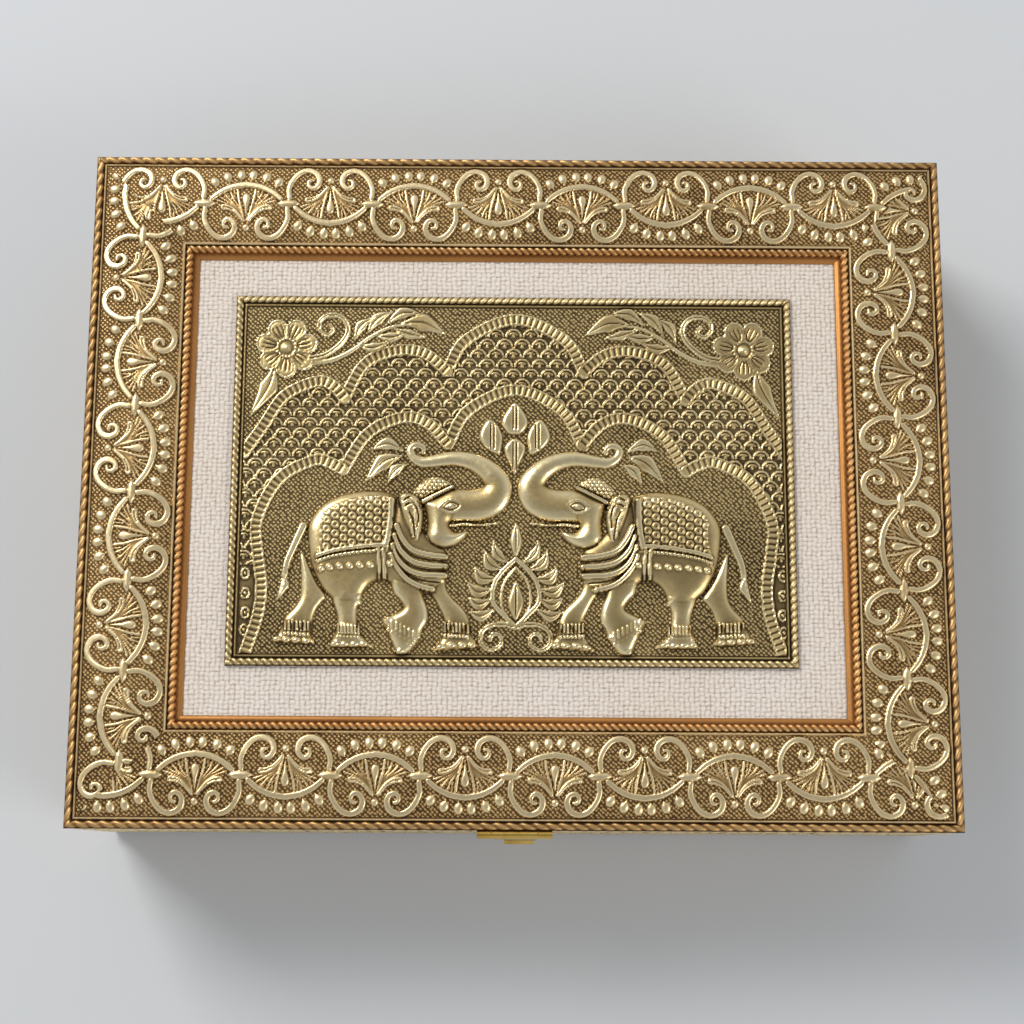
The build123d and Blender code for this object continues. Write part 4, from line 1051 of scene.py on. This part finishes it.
def cloth_panel():
    """Stretched basket-weave sheet: crossing pairs of threads give each cell its crown."""
    lo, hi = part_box("fabric_panel")
    w, d = (hi[0] - lo[0]) / MM, (hi[1] - lo[1]) / MM
    cell = 1.45
    step = cell / 3.5
    x = np.arange(-w / 2, w / 2 + 1e-6, step)
    y = np.arange(-d / 2, d / 2 + 1e-6, step)
    xx, yy = np.meshgrid(x, y)
    wander = 0.16 * np.sin(yy * 0.61 + 2.1 * np.sin(xx * 0.17)) + 0.10 * np.sin(yy * 1.9 + xx * 0.4)
    drift = 0.16 * np.sin(xx * 0.57 + 1.7 * np.sin(yy * 0.21)) + 0.10 * np.sin(xx * 2.1 - yy * 0.3)
    over = np.cos(math.pi * (xx + wander) / cell) * np.cos(math.pi * (yy + drift) / (0.92 * cell))
    z = FABRIC_TOP - 0.24 + 0.19 * np.abs(over) ** 0.6 + 0.04 * (over > 0)
    points = np.stack([xx, yy, z], -1)
    low = points[[-1, 0]].copy()
    low[..., 2] = lo[2] / MM + 0.02
    points = np.concatenate([points, low])
    # Painted light on the crowns of the threads and painted shade where they dip, passed to the cloth as its
    # exposure value.
    weave_tone_and_painted_light = np.clip(np.abs(over) ** 0.7 * 0.74 + 0.14 * (over > 0), 0, 1)
    tone = np.vstack([weave_tone_and_painted_light, np.full((2, len(x)), 0.5)])
    obj = closed_strip("basket_cloth_panel", points, {"exposure": tone}, CLOTH)
    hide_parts("fabric_panel")
    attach(obj, "lid")
    return obj


# Inside: velvet-covered boards, wooden rims, and the felt underneath

WALL_IN, LINING_IN, LID_GAP = 10.5, 12.0, 0.3
FLOOR_TOP, LIP_TOP, DIVIDER_TOP = 6.5, 48.5, 44.0
SPLIT_LOW, SPLIT_TOP = 45.85, 46.15
CROSS_X, DIVIDER_T = 38.3, 4.0
PILE_WAVE = 0.12


WALL_FACE, BOARD_TOP, RIM_TOP, FELT_INSET = 1.5, 5.0, 57.0, 4.5


def moulded(name, side, section, material, body, node_name, wave=0.0):
    """A mitred board along one side, drawn as its section (inset, height) swept along the wall."""
    length, face = side_sizes(side)
    t = np.linspace(-1, 1, int(length / 2.5) + 1)
    rows = []
    for k, (inset, z) in enumerate(section):
        sway = wave * np.sin(t * 23 + k) * np.cos(t * 61 + 0.5 * k)
        height = np.full(len(t), z) + sway / 2
        rows.append(np.stack([t * (length / 2 - inset), inset - face + sway, height], -1))
    points = turned(np.stack(rows), SIDE_TURNS[side])
    if side in ("left", "right") and material is WOOD:
        points = clear_of_groove(points, 0.14)
    obj = closed_strip(name, points, {}, material)
    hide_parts(node_name)
    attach(obj, body)
    return obj


def rounded_top(inset_0, inset_1, z0, z1, radius, steps=5):
    """Board section with both upper edges rounded."""
    points = [(inset_0, z0), (inset_0, (z0 + z1) / 2)]
    for centre, first in ((inset_0 + radius, 180), (inset_1 - radius, 90)):
        for k in range(steps + 1):
            a = math.radians(first - 90 * k / steps)
            points.append((centre + radius * math.cos(a), z1 - radius + radius * math.sin(a)))
    return points + [(inset_1, (z0 + z1) / 2), (inset_1, z0)]


def upside_down(section, z0, z1):
    """The same section with its rounded edges at the bottom."""
    return [(inset, z0 + z1 - z) for inset, z in reversed(section)]


def soft_panel(name, half_x, half_y, z_flat, z_soft, node_name, body, material, tufts=0.0, step=1.5):
    """A covered board: one flat face, and one that rises and dips with the padding under the cloth."""
    x = np.linspace(-half_x, half_x, int(2 * half_x / step))
    y = np.linspace(-half_y, half_y, int(2 * half_y / step))
    if z_soft < z_flat:
        y = y[::-1]
    xx, yy = np.meshgrid(x, y)
    edge = np.clip(np.minimum(half_x - np.abs(xx), half_y - np.abs(yy)) / 2.0, 0, 1)
    swell = np.sqrt(np.clip(1 - (1 - edge) ** 2, 0, 1))
    lie = PILE_WAVE * np.sin(xx * 0.31 + np.sin(yy * 0.13)) * np.cos(yy * 0.27 + np.sin(xx * 0.11))
    diamonds = np.abs(np.sin(math.pi * (xx + yy) / 38) * np.sin(math.pi * (xx - yy) / 38)) ** 0.35
    depth = (1 - swell) * 0.6 + tufts * (1 - diamonds) + PILE_WAVE - lie
    way = 1 if z_soft > z_flat else -1
    z = z_soft - way * depth
    points = np.stack([xx, yy, z], -1)
    low = points[[-1, 0]].copy()
    low[..., 2] = z_flat
    # Along the tufting seams, the value for the velvet's painted shade in the stitched grooves, passed as
    # ground.
    painted_seam_shade = np.vstack([np.clip(0.85 * (1 - diamonds) * (tufts > 0), 0, 1), np.zeros((2, len(x)))])
    obj = closed_strip(name, np.concatenate([points, low]), {"ground": painted_seam_shade}, material)
    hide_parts(node_name)
    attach(obj, body)
    return obj


def board_between(name, start, end, material, node_name):
    """A velvet-covered divider with a rounded top, from start to end in plan."""
    (x0, y0), (x1, y1) = start, end
    length = math.hypot(x1 - x0, y1 - y0)
    section = rounded_top(-DIVIDER_T / 2, DIVIDER_T / 2, FLOOR_TOP - 0.2, DIVIDER_TOP, 1.7)
    t = np.linspace(0, 1, int(length / 2.5) + 1)
    along = ((x1 - x0) / length, (y1 - y0) / length)
    rows = []
    for k, (offset, z) in enumerate(section):
        sway = PILE_WAVE * np.sin(t * length * 0.21 + k) * np.cos(t * length * 0.083)
        off = offset + sway * 0.5
        x = x0 + along[0] * length * t - along[1] * off
        y = y0 + along[1] * length * t + along[0] * off
        rows.append(np.stack([x, y, np.full(len(t), z) + sway * 0.4 * (z > FLOOR_TOP)], -1))
    obj = closed_strip(name, np.stack(rows), {}, material)
    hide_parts(node_name)
    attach(obj, "base")
    return obj


def interior():
    half_x, half_y = BOX_W / 2 - WALL_IN, BOX_D / 2 - WALL_IN
    floor = soft_panel("velvet_floor", half_x - 0.02, half_y - 0.02, 5.02, FLOOR_TOP + 0.1, "lining_floor",
                       "base", VELVET)
    for side in SIDE_TURNS:
        section = rounded_top(WALL_IN + 0.02, LINING_IN, FLOOR_TOP - 0.1, LIP_TOP, 0.7)
        lining = moulded(f"velvet_wall_{side}", side, section, VELVET, "base", f"lining_{side}", 0.05)
    inner_x, inner_y = BOX_W / 2 - LINING_IN, BOX_D / 2 - LINING_IN
    half_t = DIVIDER_T / 2
    for name, x in (("left", -CROSS_X), ("right", CROSS_X)):
        start, end = (x, -inner_y - 0.1), (x, inner_y + 0.1)
        board_between(f"velvet_cross_{name}", start, end, VELVET, f"divider_cross_{name}")
    spans = (("left", -inner_x - 0.1, -CROSS_X - half_t + 0.2),
             ("middle", -CROSS_X + half_t - 0.2, CROSS_X - half_t + 0.2),
             ("right", CROSS_X + half_t - 0.2, inner_x + 0.1))
    for name, x0, x1 in spans:
        board_between(f"velvet_long_{name}", (x0, 0), (x1, 0), VELVET, "divider_long")
    lid_x, lid_y = half_x + LID_GAP - 0.02, half_y + LID_GAP - 0.02
    quilt = soft_panel("velvet_lid_panel", lid_x, lid_y, 56.98, 55.4, "lid_lining", "lid", VELVET, tufts=1.5)
    felt = soft_panel("felt_underside", BOX_W / 2 - FELT_INSET, BOX_D / 2 - FELT_INSET, 1.0, 0.0,
                      "underside_felt", "base", FELT, step=2.5)
    for side in ("front", "left", "right"):
        section = rounded_top(WALL_FACE, WALL_IN, BOARD_TOP, SPLIT_LOW, 0.5, 3)
        wall = moulded(f"wooden_wall_{side}", side, section, WOOD, "base", f"base_wall_{side}")
        section = rounded_top(WALL_FACE, WALL_IN - LID_GAP, SPLIT_TOP, RIM_TOP, 0.5, 3)
        section = upside_down(section, SPLIT_TOP, RIM_TOP)
        rim = moulded(f"wooden_rim_{side}", side, section, WOOD, "lid", f"lid_rim_{side}")


# CAD nodes that keep their shape

NODE_MATERIALS = (
    (("hinge", "hasp", "catch"), BRIGHT),
    (("lining", "divider", "lid_lining"), VELVET),
    (("underside_felt",), FELT),
    (("base_wall", "base_floor", "lid_rim", "lid_board"), WOOD),
    (("base_cladding", "lid_cladding", "frame_rail"), FRAME_METAL),
    (("embossed_plaque",), PLAQUE_METAL),
    (("fabric_panel",), CLOTH),
)


def dress_nodes():
    for name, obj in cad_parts.items():
        for stems, material in NODE_MATERIALS:
            if name.startswith(stems):
                if not obj.material_slots:
                    obj.data.materials.append(material)
                for slot in obj.material_slots:
                    slot.material = material
                break


# Photograph's view and studio

def studio():
    scene = bpy.context.scene
    scene.view_settings.view_transform = "Standard"
    camera = bpy.data.objects.new("camera", bpy.data.cameras.new("camera"))
    scene.collection.objects.link(camera)
    camera.data.sensor_width = 36.0
    camera.data.lens = 36.0 * 1800 / 1024
    rx, ry, rz = CAMERA_TURN
    to_camera = Matrix.Rotation(rz, 4, "Z") @ Matrix.Rotation(ry, 4, "Y") @ Matrix.Rotation(rx, 4, "X")
    place = to_camera.inverted()
    place.translation = [c * MM for c in CAMERA_AT]
    camera.matrix_world = place
    scene.camera = camera

    floor_mesh = bpy.data.meshes.new("floor")
    floor_mesh.from_pydata([(-4, -4, 0), (4, -4, 0), (4, 4, 0), (-4, 4, 0)], [], [(0, 1, 2, 3)])
    floor = bpy.data.objects.new("floor", floor_mesh)
    scene.collection.objects.link(floor)
    mat, tree, shader = new_material("pale_floor")
    shader.inputs["Base Color"].default_value = (0.66, 0.68, 0.70, 1)
    shader.inputs["Roughness"].default_value = 0.8
    floor_mesh.materials.append(mat)

    world = bpy.data.worlds.new("studio")
    scene.world = world
    world.use_nodes = True
    sky = world.node_tree
    place = sky.nodes.new("ShaderNodeTexCoord")
    axes = sky.nodes.new("ShaderNodeSeparateXYZ")
    sky.links.new(place.outputs["Generated"], axes.inputs["Vector"])
    stops = [(0.0, (0.55, 0.56, 0.58)), (0.55, (0.80, 0.82, 0.85)), (0.97, (0.30, 0.31, 0.33))]
    tone = ramp(sky, axes.outputs["Z"], stops)
    sky.links.new(tone, sky.nodes["Background"].inputs["Color"])
    sky.nodes["Background"].inputs["Strength"].default_value = 0.75

    def lamp(name, place, aim, size, power, colour=(1, 1, 1)):
        data = bpy.data.lights.new(name, "AREA")
        data.size = size
        data.energy = power
        data.color = colour
        obj = bpy.data.objects.new(name, data)
        scene.collection.objects.link(obj)
        obj.location = place
        direction = Matrix.Translation(aim).translation - obj.location
        obj.rotation_euler = direction.to_track_quat("-Z", "Y").to_euler()

    lamp("window", (-0.9, 0.9, 1.3), (0, 0, 0.05), 0.7, 19.0, (1.0, 0.98, 0.95))
    lamp("fill", (1.1, -0.6, 1.0), (0, 0, 0.05), 0.6, 5.0, (1.0, 0.97, 0.92))


CAMERA_TURN = (-0.1918, 0.0050, -0.0060)
CAMERA_AT = (-3.83, -108.55, 512.58 + BOX_H)

for side in SIDE_TURNS:
    rail(side)
    base_top, lid_foot = (43.4, 48.6) if side == "back" else (45.8, 46.2)
    cladding("base_cladding", side, 1.1, base_top, "base", (4.0, 41.4), draw_base_side, SIDE_GRID)
    cladding("lid_cladding", side, lid_foot, 61.45, "lid", (50.6,), draw_lid_side, LID_SIDE_GRID)
plaque()
cloth_panel()
interior()
dress_nodes()
studio()
